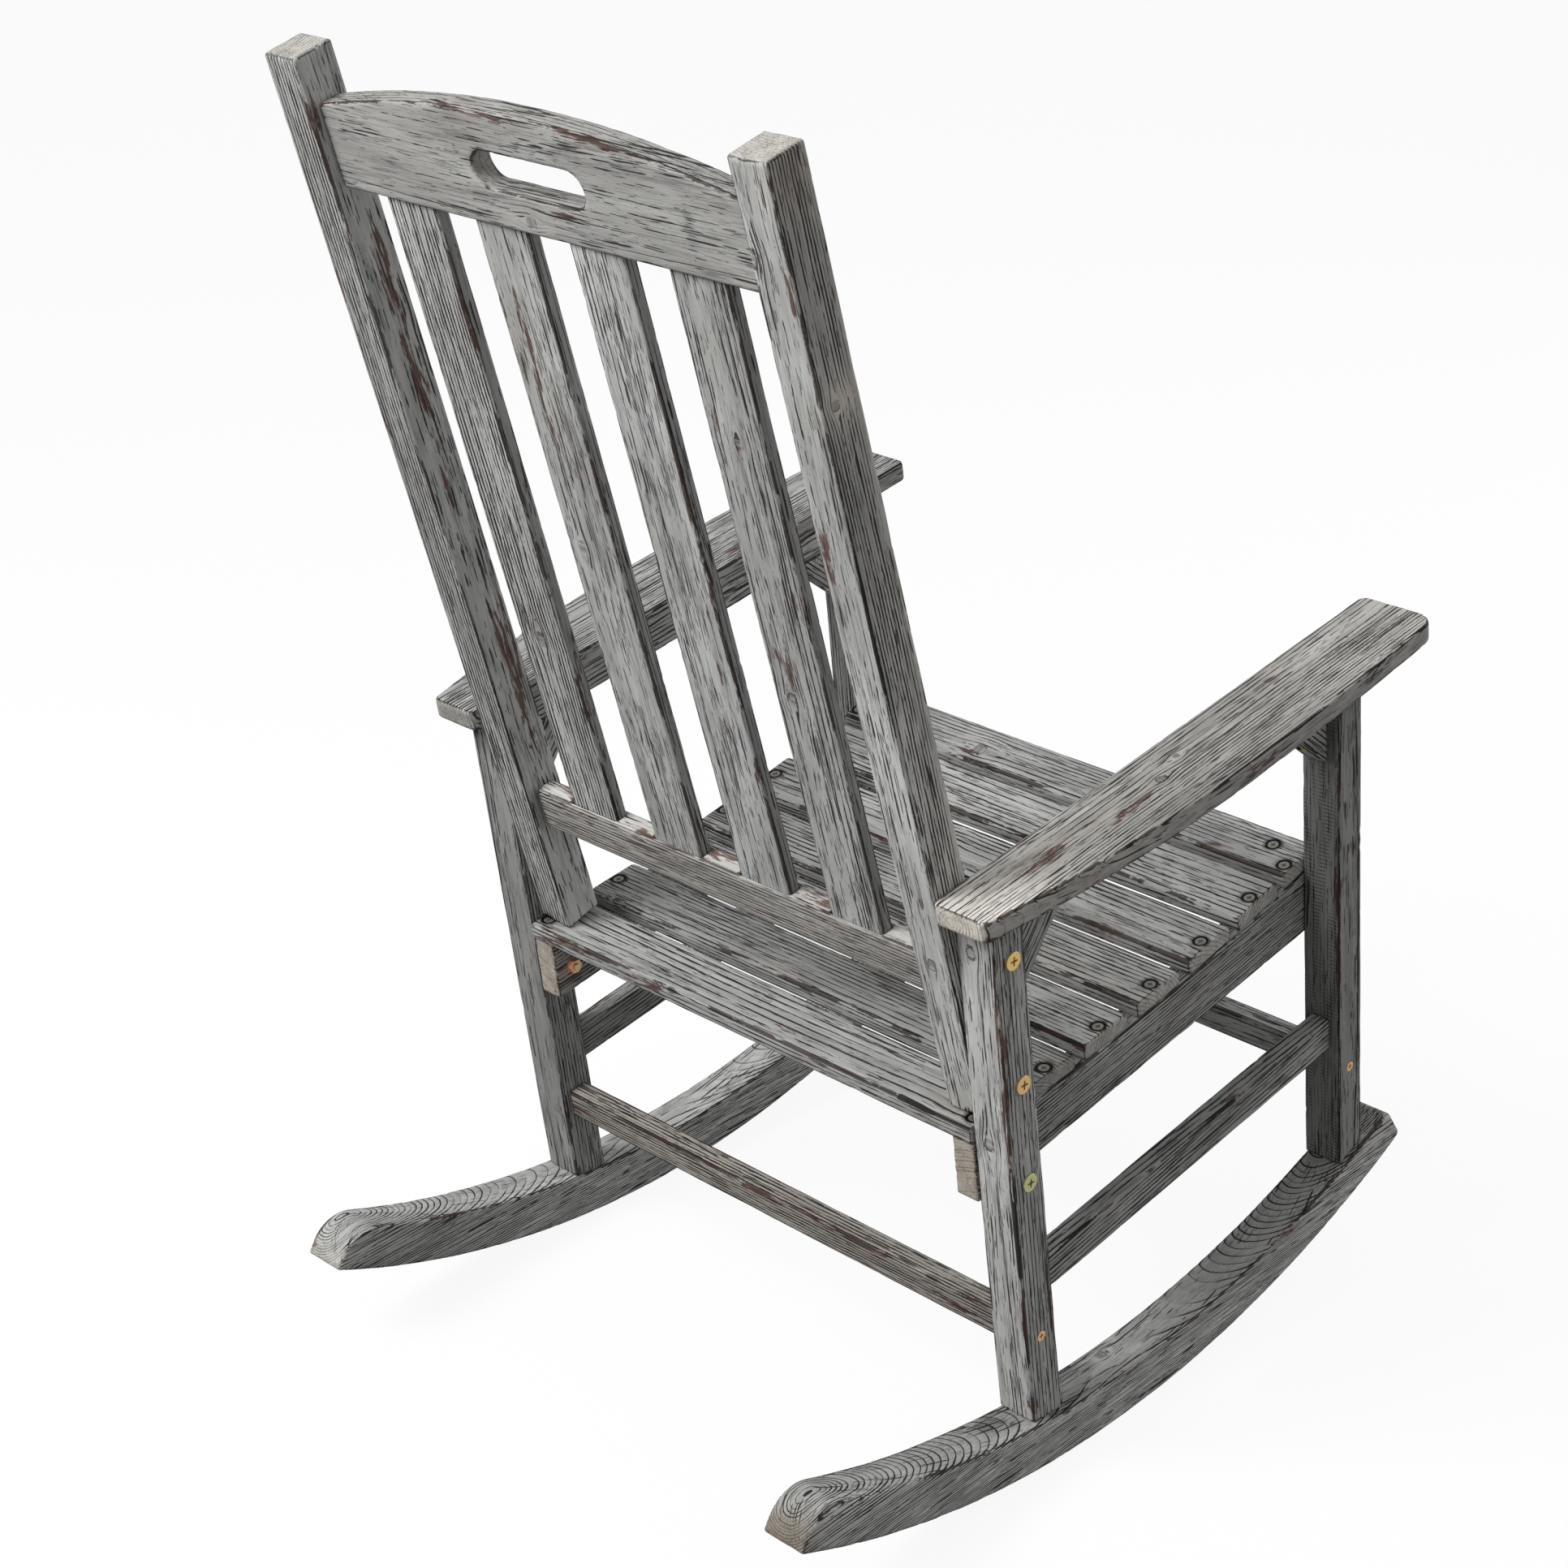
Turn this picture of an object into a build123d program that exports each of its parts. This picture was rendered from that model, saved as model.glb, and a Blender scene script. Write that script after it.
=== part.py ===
from build123d import *
from math import asin, atan2, cos, degrees, radians, sin, sqrt, tan
import os

# Slatted wooden porch rocking chair, millimetres.
# The chair faces -Y, +Z is up and the sitter's left is +X.  It is drawn with the lowest
# point of the rockers on the origin, then rolled on its rockers until it balances.

# ---- frame of the chair ----
INNER_WIDTH = 524.0          # clear width between the legs
EASE = 2.5                   # worn rounding on every wooden edge

# ---- rockers ----
ROCKER_THICK = 43.0
ROCKER_HEIGHT = 46.0
ROCKER_RADIUS = 918.0        # underside
ROCKER_TOP_RADIUS = 945.0
ROCKER_REAR_RUN = 366.0      # from the lowest point back to the rear tip
ROCKER_FRONT_RUN = 437.0     # from the lowest point forward to the front tip
ROCKER_REAR_ROUND = 34.0
ROCKER_FRONT_ROUND = 6.0

# ---- legs ----
LEG_THICK = 38.0             # across the chair
REAR_LEG_DEPTH = 36.5        # front to back
REAR_LEG_Y = 64.3            # centre line where it meets the rocker
REAR_LEG_LEAN = 8.8          # degrees from upright, leaning back
FRONT_LEG_DEPTH = 34.5
FRONT_LEG_Y = -362.7
FRONT_LEG_LEAN = 7.3

# ---- arms ----
ARM_TOP_Z = 587.0            # top face, measured above the origin
ARM_SLOPE = 10.1             # degrees, rising to the front
ARM_THICK = 19.0
ARM_REAR_Y = 185.0
ARM_FRONT_Y = -366.0
ARM_WIDTH = 82.5             # at its widest
ARM_WIDEST_Y = -98.0
ARM_FRONT_WIDTH = 74.0
ARM_TAIL_WIDTH = 53.0
ARM_FRONT_ROUND = 18.0
ARM_CORNER_ROUND = 8.0
ARM_RAIL_HEIGHT = 25.0
ARM_RAIL_THICK = 25.0
ARM_RAIL_INSET = 2.5         # behind the inner face of the legs
BRACE_REACH = 68.0

# ---- seat ----
SEAT_RADIUS = 2262.0         # dish of the seat, seen from the side
SEAT_LOW_Y = 357.0
SEAT_LOW_Z = 308.0
RAIL_THICK = 24.0
RAIL_REAR_Y = 125.5
RAIL_FRONT_Y = -327.0
RAIL_END_LEAN = 8.0
RAIL_BOTTOM_Z = 284.5        # underside, measured above the origin
RAIL_BOTTOM_SLOPE = 11.2
SLAT_THICK = 15.0
SLAT_WIDTH = 56.0
SLAT_PITCH = 70.2
SLAT_EASE = 4.0
REAR_BOARD_WIDTH = 59.0
REAR_BOARD_Y = 98.5
FRONT_SLAT_WIDTH = 50.0
FRONT_SLAT_Y = -309.0
FIRST_SLAT_Y = 27.0
PLAIN_SLATS = 5
APRON_THICK = 20.0           # cross rail under the front slat
APRON_HEIGHT = 42.0
APRON_SETBACK = 2.0          # behind the front ends of the seat rails
END_GAP = 0.5                # board ends to the legs

# ---- stretchers ----
CROSS_DEPTH = 21.0
CROSS_HEIGHT = 28.0
REAR_CROSS_Z = 133.5
FRONT_CROSS_Z = 214.0
SIDE_THICK = 20.0
SIDE_HEIGHT = 32.5
SIDE_Z = 193.4               # centre line, measured above the origin
SIDE_SLOPE = 10.2

# ---- back ----
POST_THICK = 37.0
POST_DEPTH = 38.0
POST_LENGTH = 840.0
POST_LEAN = 16.9
POST_FOOT_Y = 114.6
BACK_RAIL_THICK = 20.0
CREST_DROP = 109.0           # the crest's lower edge, below the posts' tops
CREST_END_HEIGHT = 69.0
CREST_ARCH = 26.0
LOWER_RAIL_BOTTOM = 110.0
LOWER_RAIL_HEIGHT = 42.0
BACK_SLATS = 4
BACK_SLAT_WIDTH = 57.5
BACK_SLAT_THICK = 12.0
TENON = 12.0
MORTISE_PLAY = 0.2
HAND_HOLE_LENGTH = 117.0
HAND_HOLE_HEIGHT = 29.0
HAND_HOLE_UP = 46.0          # its centre above the crest's lower edge

# ---- fasteners ----
HOLE_PLAY = 0.1
SCREW_DIA = 4.5
SCREW_HEAD = 9.6
SCREW_HEAD_HEIGHT = 2.6
SCREW_SINK = 0.3             # head below the surface
SCREW_SLOT = 1.1
SEAT_SCREW_LENGTH = 36.0
SEAT_SCREW_INSET = 9.0       # from the board's end
FRONT_SCREW_INSET = 34.0     # second screw of the front slat, into the apron
CROSS_SCREW_LENGTH = 62.0
ROCKER_SCREW_LENGTH = 70.0
ARM_SCREW_LENGTH = 38.0
BRACE_SCREW_LENGTH = 38.0
RAIL_SCREW_LENGTH = 50.0
BOLT_DIA = 6.0
BOLT_HEAD = 16.0
BOLT_HEAD_HEIGHT = 2.4
BOLT_SLOT = 1.8
POST_BOLT_HEIGHTS = (385.0, 500.0)
POST_BOLT_FORWARD = 2.0      # of the rear leg's centre line
POST_BOLT_LENGTH = 66.0
RAIL_BOLT_Z = 291.0
NUT_ACROSS_FLATS = 12.0
NUT_HEIGHT = 6.0
NUT_COLLAR = 14.0
NUT_COLLAR_HEIGHT = 1.6
BOLT_PROUD = 1.5             # thread showing past the nut
DOWEL_DIA = 10.0
DOWEL_LENGTH = 40.0
APRON_DOWEL_LENGTH = 24.0
APRON_DOWEL_DROP = 30.0      # below the top of the seat rails
PIN_DIA = 4.0
PIN_LENGTH = 24.0
PIN_DEPTH = 8.3              # behind the joint face it locks

# ---- densities, g/cm3 ----
WOOD = 0.48
STEEL = 7.85

LEG_IN = INNER_WIDTH / 2
LEG_OUT = LEG_IN + LEG_THICK
LEG_MID = LEG_IN + LEG_THICK / 2
POST_IN = LEG_IN - POST_THICK
RAIL_IN = LEG_IN - RAIL_THICK
ROCKER_OUT = LEG_IN + ROCKER_THICK
ARM_RAIL_X = LEG_IN + ARM_RAIL_INSET
BOARD_LENGTH = INNER_WIDTH - 2 * END_GAP
APRON_Y = RAIL_FRONT_Y + APRON_SETBACK + APRON_THICK / 2
CREST_BOTTOM = POST_LENGTH - CREST_DROP   # up the posts from their feet

FAR = 2 * (POST_LENGTH + ARM_TOP_Z)   # longer than the chair

pieces = {}
densities = {}
holes = {}


def keep(name, solid, density=WOOD):
    pieces[name] = solid
    densities[name] = density


def keep_pair(name, left):
    keep(name + "_left", left)
    keep(name + "_right", mirror(left, Plane.YZ))


def bore(names, cutter):
    for name in names:
        holes.setdefault(name, []).append(cutter)


# ---- heights and lines that several pieces share ----

def rocker_top(y):
    return ROCKER_HEIGHT + ROCKER_TOP_RADIUS - sqrt(ROCKER_TOP_RADIUS**2 - y**2)


def seat_top_of_rail(y):
    return SEAT_LOW_Z + SEAT_RADIUS - sqrt(SEAT_RADIUS**2 - (y - SEAT_LOW_Y) ** 2)


def seat_slope(y):
    return asin((y - SEAT_LOW_Y) / SEAT_RADIUS)


def arm_under(y):
    return ARM_TOP_Z - y * tan(radians(ARM_SLOPE)) - ARM_THICK / cos(radians(ARM_SLOPE))


def rail_under(y):
    return RAIL_BOTTOM_Z - y * tan(radians(RAIL_BOTTOM_SLOPE))


def arm_rail_under(y):
    return arm_under(y) - ARM_RAIL_HEIGHT / cos(radians(ARM_SLOPE))


def side_stretcher_z(y):
    return SIDE_Z - y * tan(radians(SIDE_SLOPE))


def rear_leg_y(z):
    return REAR_LEG_Y + (z - rocker_top(REAR_LEG_Y)) * tan(radians(REAR_LEG_LEAN))


def front_leg_y(z):
    return FRONT_LEG_Y + (z - rocker_top(FRONT_LEG_Y)) * tan(radians(FRONT_LEG_LEAN))


def rear_leg_front(z):
    return rear_leg_y(z) - REAR_LEG_DEPTH / 2 / cos(radians(REAR_LEG_LEAN))


def front_leg_back(z):
    return front_leg_y(z) + FRONT_LEG_DEPTH / 2 / cos(radians(FRONT_LEG_LEAN))


def meet(leg_line, sloping_line):
    """Point (y, z) where a leg's straight line y(z) crosses a straight line z(y)."""
    y, z = leg_line(0), sloping_line(0)
    lean = leg_line(1) - y
    rise = sloping_line(1) - z
    height = (z + rise * y) / (1 - rise * lean)
    return leg_line(height), height

ARM_PLANE = Plane(
    origin=(0, 0, ARM_TOP_Z),
    x_dir=(1, 0, 0),
    z_dir=(0, sin(radians(ARM_SLOPE)), cos(radians(ARM_SLOPE))),
)


def across(profile, x_from, x_to):
    """Extrude a side-view face (drawn as Y, Z) across the chair."""
    return extrude(Plane.YZ.offset(x_from) * profile, x_to - x_from)


def stick(y, z, lean, depth, length):
    """Side view of a long stick, centred on a point and leaning back."""
    return Pos(y, z) * Rot(0, 0, -lean) * Rectangle(depth, length)


def below(line_z, slope):
    """Side view of everything under a straight line that rises to the front."""
    return Pos(0, line_z) * Rot(0, 0, -slope) * Pos(0, -FAR / 2) * Rectangle(2 * FAR, FAR)


def eased(solid, radius=EASE):
    return fillet(solid.edges(), radius)


# ---- rockers and legs ----

def make_rocker():
    center = (0, ROCKER_RADIUS)

    def tip(run):
        turn = asin(run / ROCKER_RADIUS)
        low = (run, ROCKER_RADIUS * (1 - cos(turn)))
        high = (run - ROCKER_HEIGHT * sin(turn), low[1] + ROCKER_HEIGHT * cos(turn))
        return low, (high[0], rocker_top(high[0]))

    rear_low, rear_high = tip(ROCKER_REAR_RUN)
    front_low, front_high = tip(-ROCKER_FRONT_RUN)
    outline = [
        ThreePointArc(front_low, (0, center[1] - ROCKER_RADIUS), rear_low),
        Line(rear_low, rear_high),
        ThreePointArc(rear_high, (0, ROCKER_HEIGHT), front_high),
        Line(front_high, front_low),
    ]
    side = make_face(Curve() + outline)
    rear_corner = side.vertices().sort_by_distance(Vector(*rear_high))[0]
    side = fillet(rear_corner, ROCKER_REAR_ROUND)
    front_corners = side.vertices().sort_by(Axis.X)[:2]
    side = fillet(front_corners, ROCKER_FRONT_ROUND)
    return eased(across(side, LEG_IN, ROCKER_OUT))


def rear_leg_side():
    return stick(REAR_LEG_Y, rocker_top(REAR_LEG_Y), REAR_LEG_LEAN, REAR_LEG_DEPTH, FAR)


def front_leg_side():
    return stick(FRONT_LEG_Y, rocker_top(FRONT_LEG_Y), FRONT_LEG_LEAN, FRONT_LEG_DEPTH, FAR)


def between_legs(band):
    """The stretch of a side-view band that lies between the two legs."""
    pieces_of_band = (band - rear_leg_side() - front_leg_side()).faces().sort_by(Axis.X)
    return pieces_of_band[1]


def make_leg(side):
    above_rocker = Pos(0, ROCKER_HEIGHT + ROCKER_TOP_RADIUS) * Circle(ROCKER_TOP_RADIUS)
    side = side & above_rocker & below(arm_under(0), ARM_SLOPE)
    return eased(across(side, LEG_IN, LEG_OUT))


# ---- arms, their rails and braces ----

def arm_v(y):
    # distance along the arm's top face, toward the back
    return y / cos(radians(ARM_SLOPE))


def make_arm():
    rear, front, widest = arm_v(ARM_REAR_Y), arm_v(ARM_FRONT_Y), arm_v(ARM_WIDEST_Y)
    inner = LEG_IN + END_GAP
    bulge = (inner + ARM_WIDTH, widest)
    front_corner = (inner + ARM_FRONT_WIDTH, front)
    rear_corner = (inner + ARM_TAIL_WIDTH, rear)
    outline = [
        Line((inner, rear), (inner, front)),
        Line((inner, front), front_corner),
        TangentArc(bulge, front_corner, tangent=(0, -1)),
        TangentArc(bulge, rear_corner, tangent=(0, 1)),
        Line(rear_corner, (inner, rear)),
    ]
    top = make_face(Curve() + outline)
    top = fillet(top.vertices().sort_by_distance(Vector(*front_corner))[0], ARM_FRONT_ROUND)
    for corner in (rear_corner, (inner, rear), (inner, front)):
        top = fillet(top.vertices().sort_by_distance(Vector(*corner))[0], ARM_CORNER_ROUND)
    return eased(extrude(ARM_PLANE * top, -ARM_THICK))


def make_arm_rail():
    band = below(arm_under(0), ARM_SLOPE) - below(arm_rail_under(0), ARM_SLOPE)
    return eased(across(between_legs(band), ARM_RAIL_X, ARM_RAIL_X + ARM_RAIL_THICK))


def brace_frame(leg_line, lean, toward):
    """Corner under the arm rail and the two directions (y, z) along which a brace reaches."""
    corner = Vector(*meet(leg_line, arm_rail_under))
    along = Vector(cos(radians(ARM_SLOPE)), -sin(radians(ARM_SLOPE))) * toward
    down = Vector(-sin(radians(lean)), -cos(radians(lean)))
    return corner, along, down


def make_brace(leg_line, lean, toward):
    corner, along, down = brace_frame(leg_line, lean, toward)
    foot, tip = corner + down * BRACE_REACH, corner + along * BRACE_REACH
    side = make_face(Polyline(corner, foot, tip, corner))
    return eased(across(side, ARM_RAIL_X, ARM_RAIL_X + ARM_RAIL_THICK))


# ---- seat ----

def make_seat_rail():
    dish = Pos(SEAT_LOW_Y, SEAT_LOW_Z + SEAT_RADIUS) * Circle(SEAT_RADIUS)
    middle = (RAIL_REAR_Y + RAIL_FRONT_Y) / 2
    length = (RAIL_REAR_Y - RAIL_FRONT_Y) * cos(radians(RAIL_END_LEAN))
    side = stick(middle, seat_top_of_rail(RAIL_REAR_Y), RAIL_END_LEAN, length, FAR)
    side = side - dish - below(RAIL_BOTTOM_Z, RAIL_BOTTOM_SLOPE)
    return eased(across(side.faces().sort_by(Axis.Y)[0], RAIL_IN, LEG_IN))


def make_apron():
    block = Box(
        2 * RAIL_IN, APRON_THICK, APRON_HEIGHT, align=(Align.CENTER, Align.CENTER, Align.MAX)
    )
    return board_plane(APRON_Y) * eased(block)


def board_plane(y):
    """Plane on the seat rails' top edges, tangent to the dish, +Z up out of the seat."""
    turn = seat_slope(y)
    return Plane(
        origin=(0, y, seat_top_of_rail(y)),
        x_dir=(1, 0, 0),
        z_dir=(0, -sin(turn), cos(turn)),
    )


def chord_lift(width):
    # a flat board rests on the dish with its two lower edges
    return SEAT_RADIUS - sqrt(SEAT_RADIUS**2 - (width / 2) ** 2)


def make_board(y, width):
    block = Pos(0, 0, SLAT_THICK / 2 + chord_lift(width)) * Box(BOARD_LENGTH, width, SLAT_THICK)
    top_edges = block.edges().filter_by(Axis.X).sort_by(Axis.Z)[-2:]
    block = fillet(top_edges, SLAT_EASE)
    rest = block.faces().sort_by(Axis.Z)[0].edges()
    block = fillet(rest, EASE / 2)
    return board_plane(y) * block


def slat_y(index):
    turn = seat_slope(FIRST_SLAT_Y) - index * SLAT_PITCH / SEAT_RADIUS
    return SEAT_LOW_Y + SEAT_RADIUS * sin(turn)


# ---- stretchers ----

def make_cross_stretcher(y, z, lean):
    bar = Box(BOARD_LENGTH, CROSS_DEPTH, CROSS_HEIGHT)
    return Pos(0, y, z) * Rot(-lean, 0, 0) * eased(bar)


def make_side_stretcher():
    half = SIDE_HEIGHT / 2 / cos(radians(SIDE_SLOPE))
    band = below(SIDE_Z + half, SIDE_SLOPE) - below(SIDE_Z - half, SIDE_SLOPE)
    return eased(
        across(between_legs(band), LEG_MID - SIDE_THICK / 2, LEG_MID + SIDE_THICK / 2)
    )


# ---- back ----

def rear_board_top(y):
    plane = board_plane(REAR_BOARD_Y)
    lift = (SLAT_THICK + chord_lift(REAR_BOARD_WIDTH)) / cos(seat_slope(REAR_BOARD_Y))
    return plane.origin.Z + (y - REAR_BOARD_Y) * tan(seat_slope(REAR_BOARD_Y)) + lift


# Local X runs across the chair, local Y up the posts, local Z from their back face forward.
BACK_PLANE = Plane(
    origin=(0, POST_FOOT_Y, rear_board_top(POST_FOOT_Y) + MORTISE_PLAY),
    x_dir=(1, 0, 0),
    z_dir=(0, -cos(radians(POST_LEAN)), sin(radians(POST_LEAN))),
)
BACK_RAIL_Z = (POST_DEPTH - BACK_RAIL_THICK) / 2
BACK_WIDTH = 2 * POST_IN


def make_post():
    block = Box(POST_THICK, POST_LENGTH, POST_DEPTH, align=(Align.MIN, Align.MIN, Align.MIN))
    return BACK_PLANE * Pos(POST_IN, 0, 0) * eased(block)


def back_slat_x(index):
    gap = (BACK_WIDTH - BACK_SLATS * BACK_SLAT_WIDTH) / (BACK_SLATS + 1)
    return POST_IN - gap - BACK_SLAT_WIDTH / 2 - index * (BACK_SLAT_WIDTH + gap)


def mortises(up, depth):
    """Rounded slots for the slat tenons, sunk downward from a height up the back."""
    cutters = []
    for index in range(BACK_SLATS):
        width = BACK_SLAT_WIDTH + 2 * MORTISE_PLAY
        thick = BACK_SLAT_THICK + 2 * MORTISE_PLAY
        slot = Box(width, depth, thick, align=(Align.CENTER, Align.MIN, Align.CENTER))
        slot = fillet(slot.edges().filter_by(Axis.Y), EASE)
        cutters.append(Pos(back_slat_x(index), up, POST_DEPTH / 2) * slot)
    return cutters


def make_lower_rail():
    bar = Box(
        BACK_WIDTH, LOWER_RAIL_HEIGHT, BACK_RAIL_THICK, align=(Align.CENTER, Align.MIN, Align.MIN)
    )
    rail = Pos(0, LOWER_RAIL_BOTTOM, BACK_RAIL_Z) * eased(bar, 2 * EASE)
    top = LOWER_RAIL_BOTTOM + LOWER_RAIL_HEIGHT
    for slot in mortises(top - TENON - MORTISE_PLAY, TENON + EASE):
        rail -= slot
    return BACK_PLANE * rail


def make_crest():
    half = BACK_WIDTH / 2
    ends = CREST_BOTTOM + CREST_END_HEIGHT
    outline = [
        Line((-half, ends), (-half, CREST_BOTTOM)),
        Line((-half, CREST_BOTTOM), (half, CREST_BOTTOM)),
        Line((half, CREST_BOTTOM), (half, ends)),
        ThreePointArc((half, ends), (0, ends + CREST_ARCH), (-half, ends)),
    ]
    grip = SlotOverall(HAND_HOLE_LENGTH, HAND_HOLE_HEIGHT)
    front = make_face(Curve() + outline) - Pos(0, CREST_BOTTOM + HAND_HOLE_UP) * grip
    crest = eased(Pos(0, 0, BACK_RAIL_Z) * extrude(front, BACK_RAIL_THICK))
    for slot in mortises(CREST_BOTTOM - EASE, TENON + EASE + MORTISE_PLAY):
        crest -= slot
    return BACK_PLANE * crest


def make_back_slat(index):
    low = LOWER_RAIL_BOTTOM + LOWER_RAIL_HEIGHT - TENON
    length = CREST_BOTTOM + TENON - low
    slat = Box(
        BACK_SLAT_WIDTH, length, BACK_SLAT_THICK, align=(Align.CENTER, Align.MIN, Align.CENTER)
    )
    slat = fillet(slat.edges().filter_by(Axis.Y), EASE)
    return BACK_PLANE * Pos(back_slat_x(index), low, POST_DEPTH / 2) * slat


# ---- fasteners: each is drawn with its head's top on the origin, pointing down -Z ----

def cross_slot(size, width, depth):
    bar = Box(size, width, depth, align=(Align.CENTER, Align.CENTER, Align.MAX))
    return bar + Rot(0, 0, 90) * bar


def countersunk(length, play=0.0):
    shank, head = SCREW_DIA / 2 + play, SCREW_HEAD / 2 + play
    profile = Polyline(
        (0, play),
        (head, play),
        (shank, -SCREW_HEAD_HEIGHT - play),
        (shank, -length - play),
        (0, -length - play),
        (0, play),
    )
    return revolve(make_face(Plane.XZ * profile), Axis.Z)


def wood_screw(length):
    recess = cross_slot(SCREW_HEAD * 0.55, SCREW_SLOT, SCREW_HEAD_HEIGHT * 0.6)
    return countersunk(length) - recess


def screw_hole(length):
    entry = Cylinder(
        SCREW_HEAD / 2 + HOLE_PLAY, FAR / 20, align=(Align.CENTER, Align.CENTER, Align.MIN)
    )
    return countersunk(length, HOLE_PLAY) + entry


def add_screws(node, names, places, length):
    """Drive one screw per place (a plane whose +Z points out of the wood)."""
    screws = []
    for place in places:
        sunk = place.offset(-SCREW_SINK)
        screws.append(sunk * wood_screw(length))
        bore(names, sunk * screw_hole(length))
    keep(node, Part() + screws, STEEL)


def outward(x, y, z, side):
    return Plane(origin=(side * x, y, z), x_dir=(0, 1, 0), z_dir=(side, 0, 0))


def bolt_body(length, play=0.0):
    shank = Cylinder(
        BOLT_DIA / 2 + play, length + play, align=(Align.CENTER, Align.CENTER, Align.MAX)
    )
    return shank


def big_bolt(length):
    head = Cylinder(
        BOLT_HEAD / 2, BOLT_HEAD_HEIGHT, align=(Align.CENTER, Align.CENTER, Align.MIN)
    )
    head = fillet(head.edges().sort_by(Axis.Z)[-1], BOLT_HEAD_HEIGHT / 3)
    recess = Pos(0, 0, BOLT_HEAD_HEIGHT) * cross_slot(BOLT_HEAD / 2, BOLT_SLOT, BOLT_HEAD_HEIGHT)
    return head + bolt_body(length) - recess


def collar_nut():
    collar = Cylinder(
        NUT_COLLAR / 2, NUT_COLLAR_HEIGHT, align=(Align.CENTER, Align.CENTER, Align.MIN)
    )
    hexagon = RegularPolygon(NUT_ACROSS_FLATS / 2, 6, major_radius=False)
    body = extrude(hexagon, NUT_HEIGHT)
    bore_through = Cylinder(BOLT_DIA / 2 + HOLE_PLAY, 4 * NUT_HEIGHT)
    return collar + body - bore_through


def add_bolts():
    names = ["rear_leg_left", "rear_leg_right"]
    posts = []
    for side in (1, -1):
        for z in POST_BOLT_HEIGHTS:
            place = outward(LEG_OUT, rear_leg_y(z) - POST_BOLT_FORWARD, z, side)
            posts.append(place * big_bolt(POST_BOLT_LENGTH))
            bore(names + ["back_post_left", "back_post_right"],
                 place * bolt_body(POST_BOLT_LENGTH, HOLE_PLAY))
    keep("back_post_bolts", Part() + posts, STEEL)

    grip = LEG_THICK + RAIL_THICK
    length = grip + NUT_HEIGHT + BOLT_PROUD
    rails, nuts = [], []
    for side in (1, -1):
        place = outward(LEG_OUT, rear_leg_y(RAIL_BOLT_Z), RAIL_BOLT_Z, side)
        rails.append(place * big_bolt(length))
        nuts.append(place.offset(-grip) * Rot(180, 0, 0) * collar_nut())
        bore(names + ["seat_rail_left", "seat_rail_right"],
             place * bolt_body(length, HOLE_PLAY))
    keep("seat_rail_bolts", Part() + rails, STEEL)
    keep("seat_rail_nuts", Part() + nuts, STEEL)


def seat_screw_places():
    half = BOARD_LENGTH / 2 - SEAT_SCREW_INSET
    top = SLAT_THICK + chord_lift(SLAT_WIDTH)
    places = []
    for side in (1, -1):
        for index in range(PLAIN_SLATS):
            places.append(board_plane(slat_y(index)) * Pos(side * half, 0, top))
        rear_top = SLAT_THICK + chord_lift(REAR_BOARD_WIDTH)
        places.append(board_plane(REAR_BOARD_Y) * Pos(side * half, REAR_BOARD_WIDTH / 4, rear_top))
        front_top = SLAT_THICK + chord_lift(FRONT_SLAT_WIDTH)
        quarter = FRONT_SLAT_WIDTH / 4
        places.append(board_plane(FRONT_SLAT_Y) * Pos(side * half, quarter, front_top))
        inner = BOARD_LENGTH / 2 - FRONT_SCREW_INSET
        over_apron = (APRON_Y - FRONT_SLAT_Y) / cos(seat_slope(FRONT_SLAT_Y))
        places.append(board_plane(FRONT_SLAT_Y) * Pos(side * inner, over_apron, front_top))
    return [Plane(place) for place in places]


def cross_screw_places():
    places = []
    for side in (1, -1):
        places.append(outward(LEG_OUT, rear_leg_y(REAR_CROSS_Z), REAR_CROSS_Z, side))
        places.append(outward(LEG_OUT, front_leg_y(FRONT_CROSS_Z), FRONT_CROSS_Z, side))
    return places


def rocker_screw_places():
    places = []
    for side in (1, -1):
        for leg_y, lean in ((REAR_LEG_Y, REAR_LEG_LEAN), (FRONT_LEG_Y, FRONT_LEG_LEAN)):
            turn = asin(leg_y / ROCKER_RADIUS)
            floor_z = ROCKER_RADIUS * (1 - cos(turn))
            down = (0, -sin(radians(lean)), -cos(radians(lean)))
            places.append(Plane(origin=(side * LEG_MID, leg_y, floor_z), z_dir=down))
    return places


def arm_screw_places():
    underside = ARM_PLANE.offset(-ARM_THICK - ARM_RAIL_HEIGHT)
    middle = ARM_RAIL_X + ARM_RAIL_THICK / 2
    rear = arm_v(meet(rear_leg_front, arm_rail_under)[0])
    front = arm_v(meet(front_leg_back, arm_rail_under)[0])
    places = []
    for side in (1, -1):
        for share in (0.3, 0.5, 0.7):
            spot = underside * Pos(side * middle, rear + share * (front - rear), 0)
            places.append(Plane(spot) * Rot(180, 0, 0))
    return [Plane(place) for place in places]


def brace_screw_places():
    """One screw through each brace into its leg and one up into the arm rail."""
    middle = ARM_RAIL_X + ARM_RAIL_THICK / 2
    places = []
    for side in (1, -1):
        for brace in BRACES:
            corner, along, down = brace_frame(*brace)
            for near, out in ((down, along), (along, down)):
                spot = corner + near * (BRACE_REACH * 2 / 3) + out * (BRACE_REACH / 3)
                spot -= out * (SCREW_HEAD / 2 + SCREW_SINK)
                origin = (side * middle, spot.X, spot.Y)
                places.append(Plane(origin=origin, x_dir=(1, 0, 0), z_dir=(0, out.X, out.Y)))
    return places


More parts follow.
